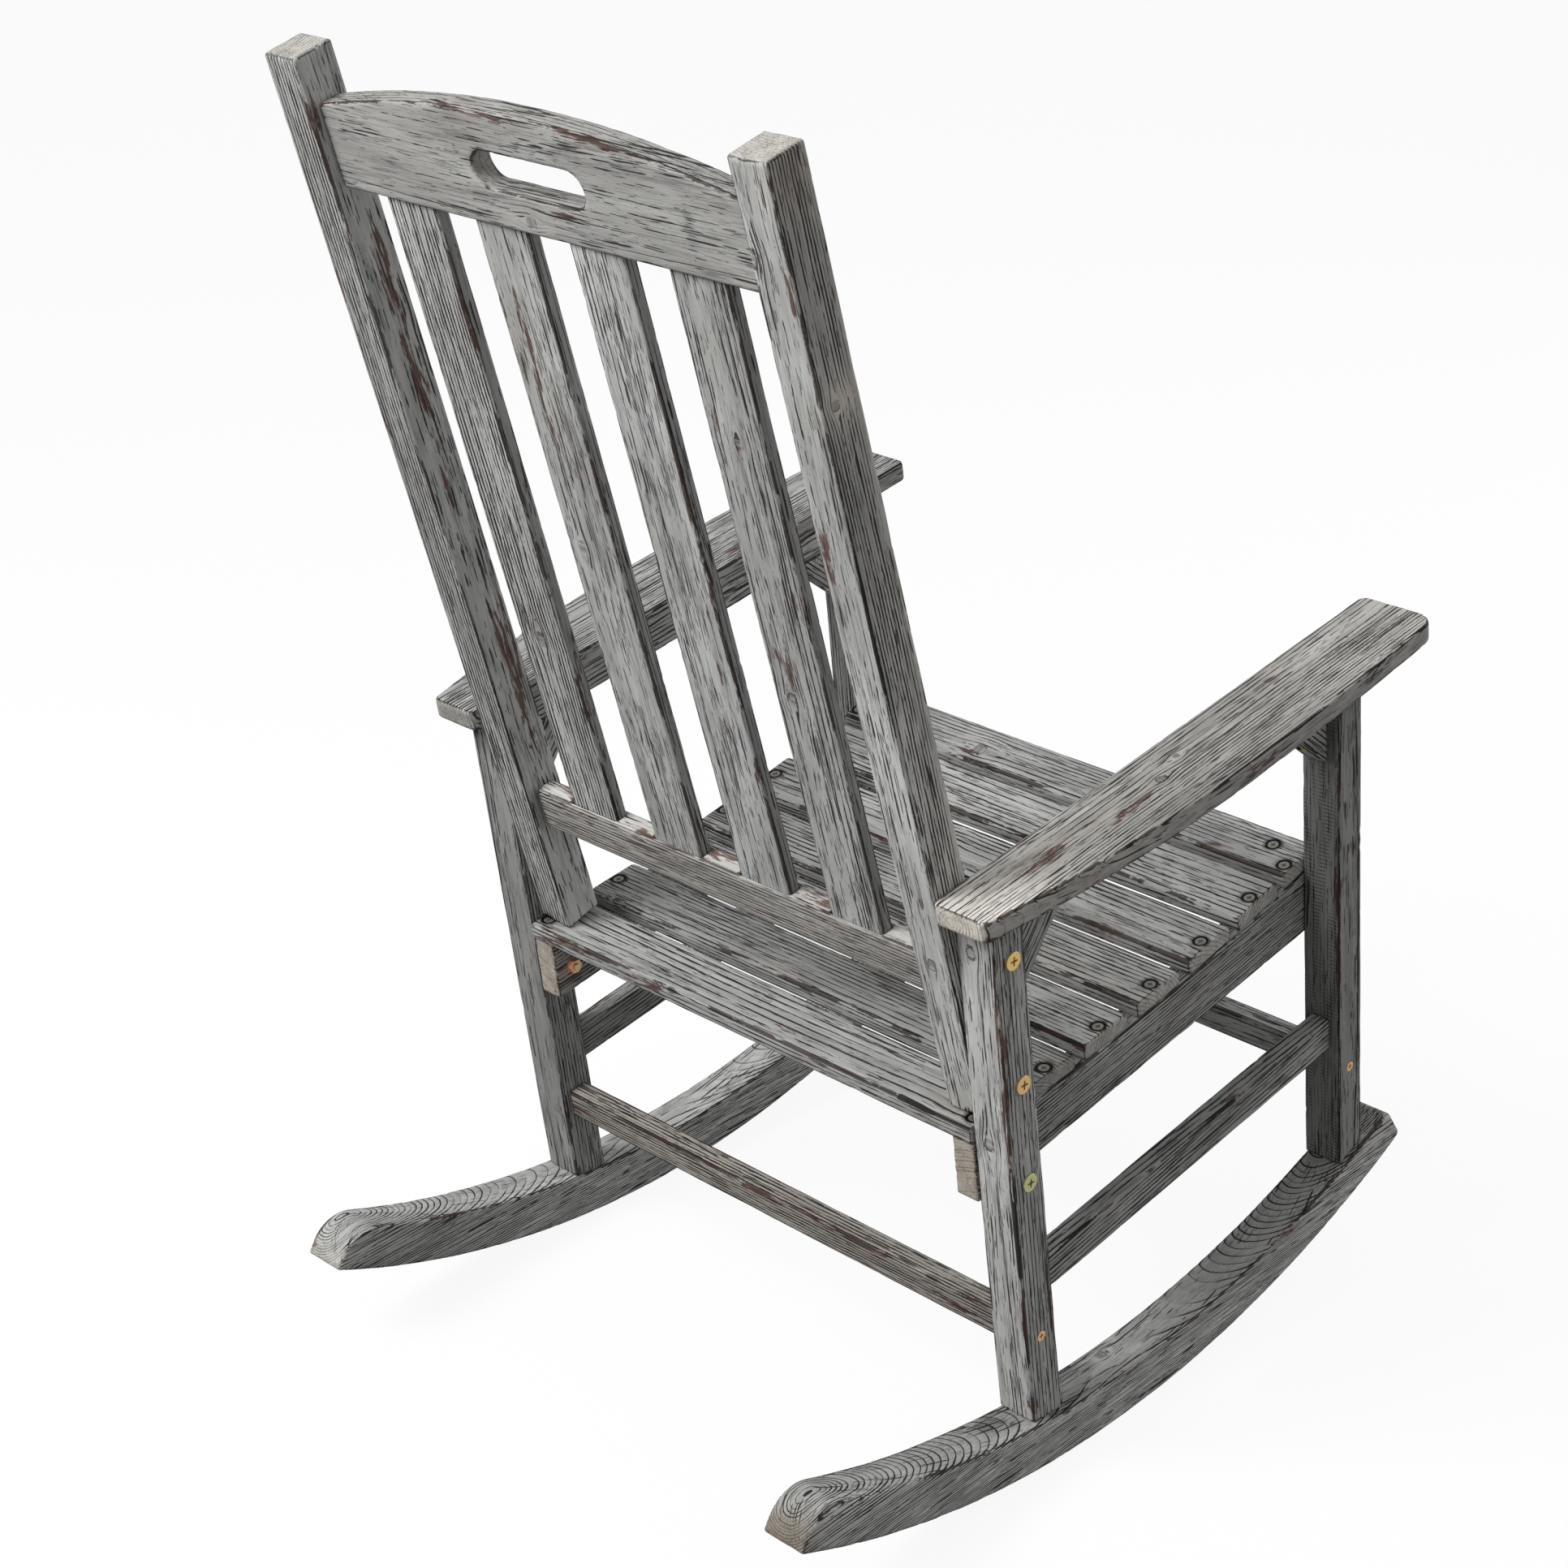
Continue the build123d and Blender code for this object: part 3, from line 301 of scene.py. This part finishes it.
def part_centres(node):
    """The middle of each separate solid in a CAD node."""
    mesh = nodes[node].data
    ends = read(mesh.edges, "vertices", 2)
    label = np.arange(len(mesh.vertices))
    while True:
        low = label.copy()
        np.minimum.at(low, ends[:, 0], label[ends[:, 1]])
        np.minimum.at(low, ends[:, 1], label[ends[:, 0]])
        if (low == label).all():
            break
        label = low
    points = read(mesh.vertices, "co", 3)
    parts = [points[label == k] for k in np.unique(label)]
    return [(part.min(0) + part.max(0)) / 2 for part in parts]


def lengthen(mesh, extra):
    """Carry a board's section on past its front end, over the bores that break out there."""
    work = bmesh.new()
    work.from_mesh(mesh)
    bmesh.ops.remove_doubles(work, verts=work.verts, dist=WELD)
    front = min(vertex.co.x for vertex in work.verts)
    back = front + SECTION_BACK
    whole = work.verts[:] + work.edges[:] + work.faces[:]
    cut = bmesh.ops.bisect_plane(work, geom=whole, plane_co=(back, 0, 0), plane_no=(1, 0, 0))
    outline = [item.co.copy() for item in cut["geom_cut"] if isinstance(item, bmesh.types.BMVert)]
    work.free()
    block = bmesh.new()
    for x in (front - extra, back):
        for point in outline:
            block.verts.new((x, point.y, point.z))
    bmesh.ops.convex_hull(block, input=block.verts)
    inner = [vertex for vertex in block.verts if not vertex.link_faces]
    bmesh.ops.delete(block, geom=inner, context="VERTS")
    block.from_mesh(mesh)
    block.to_mesh(mesh)
    block.free()


def remeshed(mesh, axes, middle, extra):
    """The piece as an even mesh in its own axes, and points along its CAD edges."""
    to_board = Matrix([list(row) for row in axes]).to_4x4() @ Matrix.Translation(-Vector(middle))
    cad = mesh.copy()
    cad.transform(to_board)
    if extra:
        lengthen(cad, extra)
    work, cast = (bpy.data.objects.new(name, cad) for name in ("work", "cast"))
    for thing in (work, cast):
        bpy.context.scene.collection.objects.link(thing)
    even = work.modifiers.new("even", "REMESH")
    even.mode = "VOXEL"
    even.voxel_size = VOXEL
    even.adaptivity = 0
    soft = work.modifiers.new("soft", "SMOOTH")
    soft.factor = 0.5
    soft.iterations = 2
    snap = work.modifiers.new("snap", "SHRINKWRAP")
    snap.target = cast
    snap.wrap_method = "NEAREST_SURFACEPOINT"
    graph = bpy.context.evaluated_depsgraph_get()
    made = bpy.data.meshes.new_from_object(work.evaluated_get(graph))
    for thing in (work, cast):
        bpy.data.objects.remove(thing)
    return made, arris_points(cad)


def arris_points(mesh):
    """Points every millimetre or two along the sharp and tightly rounded edges of a mesh."""
    work = bmesh.new()
    work.from_mesh(mesh)
    bmesh.ops.remove_doubles(work, verts=work.verts, dist=WELD)
    points = []
    for edge in work.edges:
        if len(edge.link_faces) != 2:
            continue
        angle = edge.calc_face_angle(0)
        length = edge.calc_length()
        facet = min(2 * face.calc_area() / length for face in edge.link_faces)
        if angle > SHARP or angle > FACET_TURN and angle > facet / TIGHT_ROUND:
            a, b = (vertex.co for vertex in edge.verts)
            steps = max(1, round(length / ARRIS_STEP))
            points += [a.lerp(b, k / steps) for k in range(steps + 1)]
    work.free()
    return points


def arris_nearness(points, normal, arris):
    """1 on an arris and 0 beyond its reach, and less on a flat face than on the round itself."""
    tree = kdtree.KDTree(len(arris))
    for i, point in enumerate(arris):
        tree.insert(point, i)
    tree.balance()
    distance = np.array([tree.find(point)[2] for point in points])
    bevel = smooth(abs(normal).max(1), 0.985, 0.93)
    return np.clip(1 - distance / ARRIS_REACH, 0, 1) * (0.35 + 0.65 * bevel)


def hand_wear(points, edge, seed):
    """How far each point is worn inward: dents and chips on every arris, a faint waviness elsewhere."""
    dips = np.clip(value_noise(points, (35.0, 110.0, 110.0), seed) + 0.35, 0, 1.3)
    chips = np.clip(value_noise(points, (120.0, 260.0, 260.0), seed + 7) - 0.35, 0, 1)
    waves = 1 + value_noise(points, (14.0, 60.0, 60.0), seed + 3)
    return edge ** 3 * (DIP * dips + CHIP * chips) + WAVE * waves


# ---- grain and wear, as values stored on each board ----

def around_knots(points, knots):
    """The points with the grain pushed round the knots, and how many knot radii away each lies."""
    bent = points.copy()
    away = np.full(len(points), 4.0)
    for along, beside, axis, radius in knots:
        side = 3 - axis
        x, u = points[:, 0] - along, points[:, side] - beside
        push = 1.1 * radius * np.exp(-(x / (3.0 * radius)) ** 2) * np.exp(-abs(u) / (2.5 * radius))
        bent[:, side] -= np.sign(u) * np.minimum(abs(u), push)
        away = np.minimum(away, np.hypot(x * 0.75, u) / radius)
    return bent, away


def growth_rings(points, look, seed):
    """Which ring of the log each point is in."""
    stray = (2.6, 20.0, 20.0)
    across = points[:, 1] - look["pith"][0] + look["tilt"][0] * points[:, 0]
    through = points[:, 2] - look["pith"][1] + look["tilt"][1] * points[:, 0]
    across = across + look["wander"] * value_noise(points, stray, seed + 11)
    through = through + look["wander"] * value_noise(points, stray, seed + 12)
    return np.hypot(across, through) / look["gap"]


def ring_spacing(ring, points, ends):
    """How far apart the rings lie on the surface at each point, mm."""
    step = abs(ring[ends[:, 0]] - ring[ends[:, 1]])
    slope = step / np.linalg.norm(points[ends[:, 0]] - points[ends[:, 1]], axis=1)
    steepest = np.zeros(len(points))
    np.maximum.at(steepest, ends[:, 0], slope)
    np.maximum.at(steepest, ends[:, 1], slope)
    return np.clip(1000 / np.maximum(steepest, 1e-6), 1.2, 40)


def board_look(points, normals, look, world, seed):
    """How strong each part of the look is over a board."""
    shown = {key: np.full(len(points), float(look[key])) for key in SHOWN}
    for axis, side, changes in look["faces"]:
        share = smooth(normals[:, axis] * side, 0.55, 0.85)
        for key, value in changes.items():
            shown[key] += (value - look[key]) * share
    for along, across, through, half, radius, added in look["marks"]:
        spot = np.exp(-((points[:, 0] - along) / half) ** 2
                      - ((points[:, 1] - across) ** 2 + (points[:, 2] - through) ** 2) / radius ** 2)
        for key, value in added.items():
            shown[key] += value * spot
    for centre in SCREW_SPOTS:
        away = np.linalg.norm(world - centre, axis=1)
        shown["streaks"] += SCREW_STREAKS * smooth(away, 0.010, 0.007)
        shown["tone"] -= SCREW_SHADE * smooth(away, 0.0072, 0.0055)
    shown["tone"] += 0.06 * value_noise(points, (3.0, 12.0, 12.0), seed + 21)
    return shown


def dress_board(node, seed):
    """A worn wooden piece in place of its CAD node, carrying its own grain."""
    source = nodes[node].data
    look = {**PLAIN, **BOARDS.get(node, {})}
    axes, middle = board_axes(source)
    mesh, arris = remeshed(source, axes, middle, LONGER.get(node, 0))
    local = read(mesh.vertices, "co", 3).astype(float)
    normal = read(mesh.vertices, "normal", 3).astype(float)

    bent, knot = around_knots(local, look["knots"])
    ring = growth_rings(bent, look, seed)
    spacing = ring_spacing(ring, local, read(mesh.edges, "vertices", 2))
    shown = board_look(local, normal, look, local @ axes + middle, seed)
    edge = arris_nearness(local, normal, arris)
    grain = bent + np.array([seed * GRAIN_STEP, 0, 0])
    endgrain = smooth(abs(normal[:, 0]), 0.6, 0.9)

    inward = hand_wear(local, edge, seed) - shown["swell"]
    world = (local - normal * inward[:, None]) @ axes + middle
    mesh.vertices.foreach_set("co", world.astype(np.float32).ravel())
    for name, columns in (
        ("grain", grain.T),
        ("rings", (ring, spacing, knot)),
        ("look", (shown["lines"], shown["streaks"], shown["worn"])),
        # finish carries the arris nearness, the end grain and the tone; the tone holds painted shade and
        # painted light on some faces
        ("finish", (edge, endgrain, shown["tone"])),
        ("extra", (shown["cracks"], shown["tint"], shown["ripple"])),
    ):
        layer = mesh.attributes.new(name, "FLOAT_VECTOR", "POINT")
        layer.data.foreach_set("vector", np.stack(columns, 1).astype(np.float32).ravel())
    mesh.update()
    mesh.polygons.foreach_set("use_smooth", [True] * len(mesh.polygons))
    mesh.materials.clear()
    mesh.materials.append(WOOD)
    piece = bpy.data.objects.new(f"worn_{node}", mesh)
    bpy.context.scene.collection.objects.link(piece)
    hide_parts(node)
    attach(piece, "root")


# ---- wiring of materials and the world ----

# where a Mix node has its colour sockets
MIX_A, MIX_B, MIX_RESULT = 6, 7, 2


class Nodes:
    """Short hand for wiring the nodes of a material or a world."""

    def __init__(self, owner):
        owner.use_nodes = True
        self.owner = owner
        self.tree = owner.node_tree

    def add(self, kind, inputs=(), **settings):
        node = self.tree.nodes.new("ShaderNode" + kind)
        for key, value in settings.items():
            setattr(node, key, value)
        for key, value in dict(inputs).items():
            self.put(value, node.inputs[key])
        return node

    def put(self, value, socket):
        if isinstance(value, bpy.types.NodeSocket):
            self.tree.links.new(value, socket)
        else:
            socket.default_value = value

    def surface(self, inputs):
        """Set or wire the main shader's sockets."""
        shader = self.tree.nodes["Principled BSDF"]
        for key, value in inputs.items():
            self.put(value, shader.inputs[key])

    def math(self, operation, *values):
        node = self.add("Math", operation=operation)
        for socket, value in zip(node.inputs, values):
            self.put(value, socket)
        return node.outputs[0]

    def total(self, *values):
        result = values[0]
        for value in values[1:]:
            result = self.math("ADD", result, value)
        return result

    def times(self, *values):
        result = values[0]
        for value in values[1:]:
            result = self.math("MULTIPLY", result, value)
        return result

    def parts(self, vector):
        """The three numbers in a vector."""
        return self.add("SeparateXYZ", {"Vector": vector}).outputs

    def attribute(self, name):
        """A vector that the mesh carries."""
        return self.add("Attribute", attribute_name=name).outputs["Vector"]

    def noise(self, where, stretch, detail=2.0, rough=0.5):
        """Noise with stretch cells to the metre each way."""
        node = self.add("VectorMath", operation="MULTIPLY")
        self.put(where, node.inputs[0])
        self.put(stretch, node.inputs[1])
        node = self.add("TexNoise", {"Vector": node.outputs[0], "Scale": 1.0, "Detail": detail,
                                     "Roughness": rough})
        return node.outputs["Fac"]

    def stray(self, where, stretch, amount, detail=2.0, rough=0.5):
        """Noise about zero, up to half the amount either way."""
        return self.times(self.math("SUBTRACT", self.noise(where, stretch, detail, rough), 0.5), amount)

    def ramp(self, value, low, high):
        """0 at low, 1 at high, and a smooth climb between them."""
        node = self.add("MapRange", {"Value": value, "From Min": low, "From Max": high},
                        interpolation_type="SMOOTHSTEP")
        return node.outputs[0]

    def patches(self, where, stretch, low, high, detail=2.0, rough=0.5):
        """Noise as a mask, 0 at low and 1 at high."""
        return self.ramp(self.noise(where, stretch, detail, rough), low, high)

    def mix(self, factor, a, b):
        """Colour a where the factor is 0 and b where it is 1. Each is a socket or three numbers."""
        node = self.add("Mix", data_type="RGBA")
        self.put(factor, node.inputs["Factor"])
        for place, colour in ((MIX_A, a), (MIX_B, b)):
            opaque = colour if isinstance(colour, bpy.types.NodeSocket) else (*colour, 1)
            self.put(opaque, node.inputs[place])
        return node.outputs[MIX_RESULT]

    def coats(self, colour, coats):
        """The colour with others laid over it in turn: (mask, strength, colour), ..."""
        for mask, strength, over in coats:
            colour = self.mix(self.times(mask, strength), colour, over)
        return colour

    def bump(self, height, strength, depth):
        """A normal that leans with the height, whose full range is the depth."""
        return self.add("Bump", {"Height": height, "Strength": strength, "Distance": depth}).outputs[0]

    def backdrop_seen(self):
        """1 where the camera, a gloss or a glass looks, 0 for light on its way to a surface."""
        rays = self.add("LightPath").outputs
        mirrored = self.math("MAXIMUM", rays["Is Glossy Ray"], rays["Is Transmission Ray"])
        return self.math("MAXIMUM", rays["Is Camera Ray"], mirrored)


# ---- the wood ----

# paint and what shows through it
WASH_THIN, WASH_THICK = (0.365, 0.365, 0.353), (0.490, 0.492, 0.477)
WARM_STAIN = (0.36, 0.335, 0.30)
SMUDGE = (0.17, 0.17, 0.172)
BARE_PATCH = (0.15, 0.15, 0.15)
LATEWOOD = (0.20, 0.20, 0.20)
FIBRE = (0.09, 0.09, 0.09)
RUST = (0.095, 0.050, 0.040)
RUBBED = (0.050, 0.036, 0.031)
SAW_MARK = (0.06, 0.06, 0.06)
GROOVE, BROWN_GROOVE = (0.020, 0.019, 0.018), (0.050, 0.026, 0.021)
SPECK = (0.07, 0.06, 0.055)
# knots and sawn ends
KNOT_PALE, KNOT_DARK, KNOT_RIM = (0.30, 0.285, 0.26), (0.11, 0.09, 0.08), (0.045, 0.038, 0.034)
END_DARK, END_PALE = (0.34, 0.33, 0.305), (0.455, 0.442, 0.408)
END_RING, END_PORE, END_STAIN = (0.15, 0.13, 0.11), (0.14, 0.12, 0.10), (0.16, 0.100, 0.075)
# lines: each ring or crack takes its own row of the noise, this far from the last one's
ROW_STEP = 3.71
# cracks: the pitch, mm, how often they start and stop to the metre, and the widest, mm
BOLD = (3.1, 15.0, 1.30)
FINE = (1.9, 28.0, 0.85)
SAW_TEETH = 1700.0


def ring_grooves(m, grain, ring, gap, lines):
    """Dark latewood grooves: one side sharp, the other soft, each swelling and thinning on its way.

    Gives the groove, its plain body before it thins out, how strong it is here, and how far through
    its ring each point lies.
    """
    along = m.parts(grain)[0]
    ring = m.total(ring, m.math("DIVIDE", m.stray(grain, (26, 150, 150), 2.0, 3, 0.55), gap))
    phase = m.math("FRACT", ring)
    row = m.times(m.math("FLOOR", ring), ROW_STEP)
    track = m.add("CombineXYZ", {"X": m.times(along, 11.0), "Y": row}).outputs[0]
    vigour = m.add("TexNoise", {"Vector": track, "Scale": 1.0, "Detail": 4.0, "Roughness": 0.7})
    vigour = vigour.outputs["Fac"]
    width = m.times(m.math("MINIMUM", gap, 4.0), m.ramp(vigour, 0.36, 0.58), lines, 0.42)
    before = m.times(m.math("SUBTRACT", 1.0, phase), gap)
    body = m.ramp(m.math("SUBTRACT", before, width), 0.25, -0.05)
    groove = m.times(body, m.ramp(width, 0.08, 0.30), m.ramp(gap, 22.0, 11.0))
    return groove, body, vigour, phase


def crack_lines(m, grain, plenty, pitch, run, widest):
    """Thin lines along the grain, pitch mm apart, each starting and stopping by itself."""
    along, across, through = m.parts(grain)
    cell = m.total(m.times(across, 1000 / pitch), m.times(through, 810 / pitch),
                   m.times(m.noise(grain, (5, 26, 26), 3, 0.55), 9.0 / pitch),
                   m.times(m.noise(grain, (32, 150, 150), 2), 1.6 / pitch))
    row = m.times(m.math("FLOOR", cell), ROW_STEP)
    track = m.add("CombineXYZ", {"X": m.times(along, run), "Y": row, "Z": pitch}).outputs[0]
    vigour = m.add("TexNoise", {"Vector": track, "Scale": 1.0, "Detail": 3.0, "Roughness": 0.6})
    width = m.times(m.ramp(m.total(vigour.outputs["Fac"], plenty), 0.615, 0.71), widest)
    middle = m.math("ABSOLUTE", m.math("SUBTRACT", m.math("FRACT", cell), 0.5))
    off = m.math("SUBTRACT", m.times(middle, pitch), m.times(width, 0.5))
    return m.times(m.ramp(off, 0.14, -0.06), m.ramp(width, 0.06, 0.24))


def seasoning_cracks(m, grain, cracks, patch, edge, endgrain):
    """Bold and fine cracks, more of them where the looks say so and along the arrises."""
    crowd = m.patches(grain, (6, 30, 30), 0.38, 0.62, 3)
    plenty = m.total(m.times(crowd, 0.05), m.times(cracks, 0.05), m.times(patch, 0.05),
                     m.times(edge, 0.03))
    bold = crack_lines(m, grain, plenty, *BOLD)
    fine = crack_lines(m, grain, plenty, *FINE)
    crack = m.math("MAXIMUM", bold, m.times(fine, 0.85))
    return m.times(crack, m.math("SUBTRACT", 1.0, m.times(endgrain, 0.7)))


def with_knots(m, grain, colour, knot):
    """The colour with each knot's small uneven eye, and part of its rim dark."""
    knot = m.total(knot, m.stray(grain, (260, 260, 260), 2.0, 3, 0.6))
    eye = m.mix(m.patches(grain, (300, 300, 300), 0.35, 0.65), KNOT_PALE, KNOT_DARK)
    rim = m.times(m.ramp(knot, 0.75, 0.95), m.ramp(knot, 1.35, 1.05),
                  m.patches(grain, (70, 70, 70), 0.44, 0.56, 1))
    return m.coats(colour, ((m.ramp(knot, 1.1, 0.7), 0.7, eye), (rim, 0.85, KNOT_RIM)))


def wood_material():
    """Fir that was wire-brushed, stained dark and washed over with thin grey paint."""
    m = Nodes(bpy.data.materials.new("weathered_wood"))
    grain = m.attribute("grain")
    ring, gap, knot = m.parts(m.attribute("rings"))
    lines, streaks, worn = m.parts(m.attribute("look"))
    edge, endgrain, tone = m.parts(m.attribute("finish"))
    cracks, tint, ripple = m.parts(m.attribute("extra"))

    groove, body, vigour, phase = ring_grooves(m, grain, ring, gap, lines)
    patch = m.ramp(m.total(m.noise(grain, (10, 52, 52), 4, 0.6), m.times(streaks, 0.16)), 0.60, 0.76)
    crack = seasoning_cracks(m, grain, cracks, patch, edge, endgrain)

    # fine brushed fibres, brown stain, rubbed arrises, saw marks and specks
    fibre = m.total(m.noise(grain, (26, 560, 560), 4, 0.7), m.times(patch, 0.06))
    brushed = m.times(m.ramp(fibre, 0.49, 0.63),
                      m.total(0.35, m.times(m.patches(grain, (8, 40, 40), 0.35, 0.65), 0.65)))
    brown = m.ramp(m.total(m.noise(grain, (14, 85, 85), 4, 0.65), m.times(worn, 0.22),
                           m.times(edge, 0.06)), 0.67, 0.72)
    rust = m.times(brown, m.patches(grain, (38, 340, 340), 0.42, 0.50, 3, 0.65))
    rubbed = m.times(m.ramp(edge, 0.58, 0.80), m.patches(grain, (15, 60, 60), 0.46, 0.51, 4, 0.65))
    sweep = m.total(m.times(m.parts(grain)[0], SAW_TEETH), m.times(m.noise(grain, (9, 30, 30)), 9.0))
    saw = m.times(m.ramp(m.math("SINE", sweep), 0.1, 0.8),
                  m.patches(grain, (16, 110, 110), 0.42, 0.60, 3), ripple)
    speck = m.patches(grain, (170, 430, 430), 0.70, 0.76)

    wash = m.mix(m.patches(grain, (6, 30, 30), 0.34, 0.66, 4, 0.6), WASH_THIN, WASH_THICK)
    ink = m.mix(brown, GROOVE, BROWN_GROOVE)
    colour = m.coats(wash, (
        (m.patches(grain, (5, 18, 18), 0.5, 0.75, 3, 0.5), 0.35, WARM_STAIN),
        (m.patches(grain, (14, 70, 70), 0.52, 0.68, 4, 0.65), 0.22, SMUDGE),
        (patch, 0.20, BARE_PATCH),
        (m.times(m.ramp(phase, 0.2, 0.95), lines), 0.26, LATEWOOD),
        (brushed, 0.55, FIBRE),
        (rust, 0.92, RUST),
        (rubbed, 0.90, RUBBED),
        (saw, 0.65, SAW_MARK),
        (m.math("MAXIMUM", groove, crack), 0.97, ink),
        (speck, 0.6, SPECK),
    ))
    colour = with_knots(m, grain, colour, knot)

    raw = m.mix(m.patches(grain, (300, 90, 90), 0.35, 0.65, 4), END_DARK, END_PALE)
    raw = m.coats(raw, (
        (m.times(body, m.ramp(vigour, 0.40, 0.58)), 0.42, END_RING),
        (m.patches(grain, (400, 400, 400), 0.56, 0.66, 3), 0.55, END_PORE),
        (brown, 0.8, END_STAIN),
    ))
    colour = m.mix(m.times(endgrain, 0.85), colour, raw)

    # tone over all three colours, with the painted shade and painted light that some faces carry in it,
    # and tint between red and blue
    level = m.math("ADD", tone, 1.0)
    red = m.times(level, m.total(1.0, m.times(tint, 0.07)))
    blue = m.times(level, m.total(1.0, m.times(tint, -0.06)))
    shade = m.add("VectorMath", operation="MULTIPLY")
    m.put(colour, shade.inputs[0])
    m.put(m.add("CombineXYZ", {"X": red, "Y": level, "Z": blue}).outputs[0], shade.inputs[1])

    height = m.math("SUBTRACT", m.times(m.noise(grain, (25, 260, 260), 3, 0.6), 0.5),
                    m.total(groove, crack, m.times(brushed, 0.35), m.times(rust, 0.3)))
    m.surface({"Base Color": shade.outputs[0], "Roughness": m.total(0.75, m.times(groove, 0.2)),
               "Specular IOR Level": 0.15, "Normal": m.bump(height, 0.8, 0.0008)})
    return m.owner


def hidden_wood_material():
    """Plain turned hardwood, for the dowels and pins."""
    m = Nodes(bpy.data.materials.new("dowel_wood"))
    where = m.add("TexCoord").outputs["Object"]
    colour = m.mix(m.noise(where, (300, 300, 300)), (0.34, 0.24, 0.15), (0.42, 0.31, 0.2))
    m.surface({"Base Color": colour, "Roughness": 0.7})
    return m.owner


# ---- the metal ----

def plated_material(name, lowest, higher, metallic=0.7, rough=0.35):
    """Old plating, of one colour at the bottom of the chair and others from given heights up."""
    m = Nodes(bpy.data.materials.new(name))
    where = m.add("TexCoord").outputs["Object"]
    height = m.total(m.parts(where)[2], m.stray(where, (160, 160, 160), 0.12, 3))
    colour = lowest
    for start, tint in higher:
        colour = m.mix(m.ramp(height, start - 0.03, start + 0.03), colour, tint)
    m.surface({"Base Color": colour, "Metallic": metallic,
               "Roughness": m.total(rough, m.times(m.noise(where, (900, 900, 900)), 0.25)),
               "Normal": m.bump(m.noise(where, (1500, 1500, 1500)), 0.25, 0.0002)})
    return m.owner


WOOD = wood_material()
DOWEL = hidden_wood_material()
PLATED = plated_material("plated_steel", (0.60, 0.35, 0.17), (
    (0.22, (0.42, 0.42, 0.20)), (0.34, (0.60, 0.40, 0.18)), (0.45, (0.64, 0.46, 0.17))))
COPPERY = plated_material("plated_nut", (0.62, 0.30, 0.16), ((0.30, (0.55, 0.34, 0.18)),))
WASHED = plated_material("washed_steel", (0.17, 0.155, 0.13), ((0.38, (0.22, 0.205, 0.175)),),
                         metallic=0.3, rough=0.45)

# ---- the pieces ----

# a fastener takes the first finish whose ending fits its name
FASTENERS = {"seat_screws": WASHED, "_bolts": PLATED, "_screws": PLATED, "_nuts": COPPERY,
             "_dowels": DOWEL, "_pins": DOWEL}
SCREW_SPOTS = part_centres("seat_screws")
seed = 0
for node in sorted(nodes):
    finish = [material for ending, material in FASTENERS.items() if node.endswith(ending)]
    if finish:
        nodes[node].data.materials.clear()
        nodes[node].data.materials.append(finish[0])
        continue
    seed += 1
    dress_board(node, seed)

# ---- floor, light and camera ----

FLOOR_HALF = 9
FLOOR_WHITENESS = 0.91
SKY_LOW, SKY_HIGH = 0.20, 0.48
AIM = (0, 0, 0.6)

corners = [(x * FLOOR_HALF, y * FLOOR_HALF, 0) for x, y in ((-1, -1), (1, -1), (1, 1), (-1, 1))]
floor_mesh = bpy.data.meshes.new("floor")
floor_mesh.from_pydata(corners, [], [(0, 1, 2, 3)])
floor = bpy.data.objects.new("floor", floor_mesh)
bpy.context.scene.collection.objects.link(floor)
pale = Nodes(bpy.data.materials.new("pale_floor"))
pale.surface({"Base Color": (0.9, 0.9, 0.9, 1), "Roughness": 0.9})
white = pale.add("Emission", {"Color": (1, 1, 1, 1), "Strength": 1.0})
blend = pale.add("MixShader", {"Fac": pale.times(pale.backdrop_seen(), FLOOR_WHITENESS)})
pale.put(pale.tree.nodes["Principled BSDF"].outputs[0], blend.inputs[1])
pale.put(white.outputs[0], blend.inputs[2])
pale.put(blend.outputs[0], pale.tree.nodes["Material Output"].inputs["Surface"])
floor_mesh.materials.append(pale.owner)
floor.visible_diffuse = False


def area_light(name, where, power, size):
    """A square lamp that faces the middle of the chair."""
    lamp = bpy.data.lights.new(name, "AREA")
    lamp.energy = power
    lamp.size = size
    thing = bpy.data.objects.new(name, lamp)
    thing.location = where
    thing.rotation_euler = (Vector(AIM) - Vector(where)).to_track_quat("-Z", "Y").to_euler()
    bpy.context.scene.collection.objects.link(thing)


# the key is high behind the chair, where the camera is too, and the fill lights the front faces
area_light("key", (1.1, 2.5, 2.9), 128, 1.5)
area_light("fill", (-0.9, -3.0, 1.9), 36, 2.5)

# an even sky, dimmer below the horizon, white where the camera, a gloss or a glass sees it
world = bpy.data.worlds.new("studio")
bpy.context.scene.world = world
air = Nodes(world)
up = air.parts(air.add("TexCoord").outputs["Generated"])[2]
level = air.add("MapRange", {"Value": up, "From Min": -0.15, "From Max": 0.25,
                             "To Min": SKY_LOW, "To Max": SKY_HIGH}).outputs[0]
sky = air.tree.nodes["Background"]
air.put(air.math("MAXIMUM", level, air.backdrop_seen()), sky.inputs["Strength"])
air.put((1, 1, 1, 1), sky.inputs["Color"])

# the camera looks down from behind and to one side, at the length of a portrait lens
lens = bpy.data.cameras.new("camera")
lens.lens = 71.339
lens.clip_start = 0.05
lens.clip_end = 50
camera = bpy.data.objects.new("camera", lens)
bpy.context.scene.collection.objects.link(camera)
camera.location = (-1.64018, 1.76016, 1.62770)
camera.rotation_euler = [math.radians(angle) for angle in (64.955, 0.940, -135.853)]
bpy.context.scene.camera = camera
bpy.context.scene.view_settings.view_transform = "Standard"
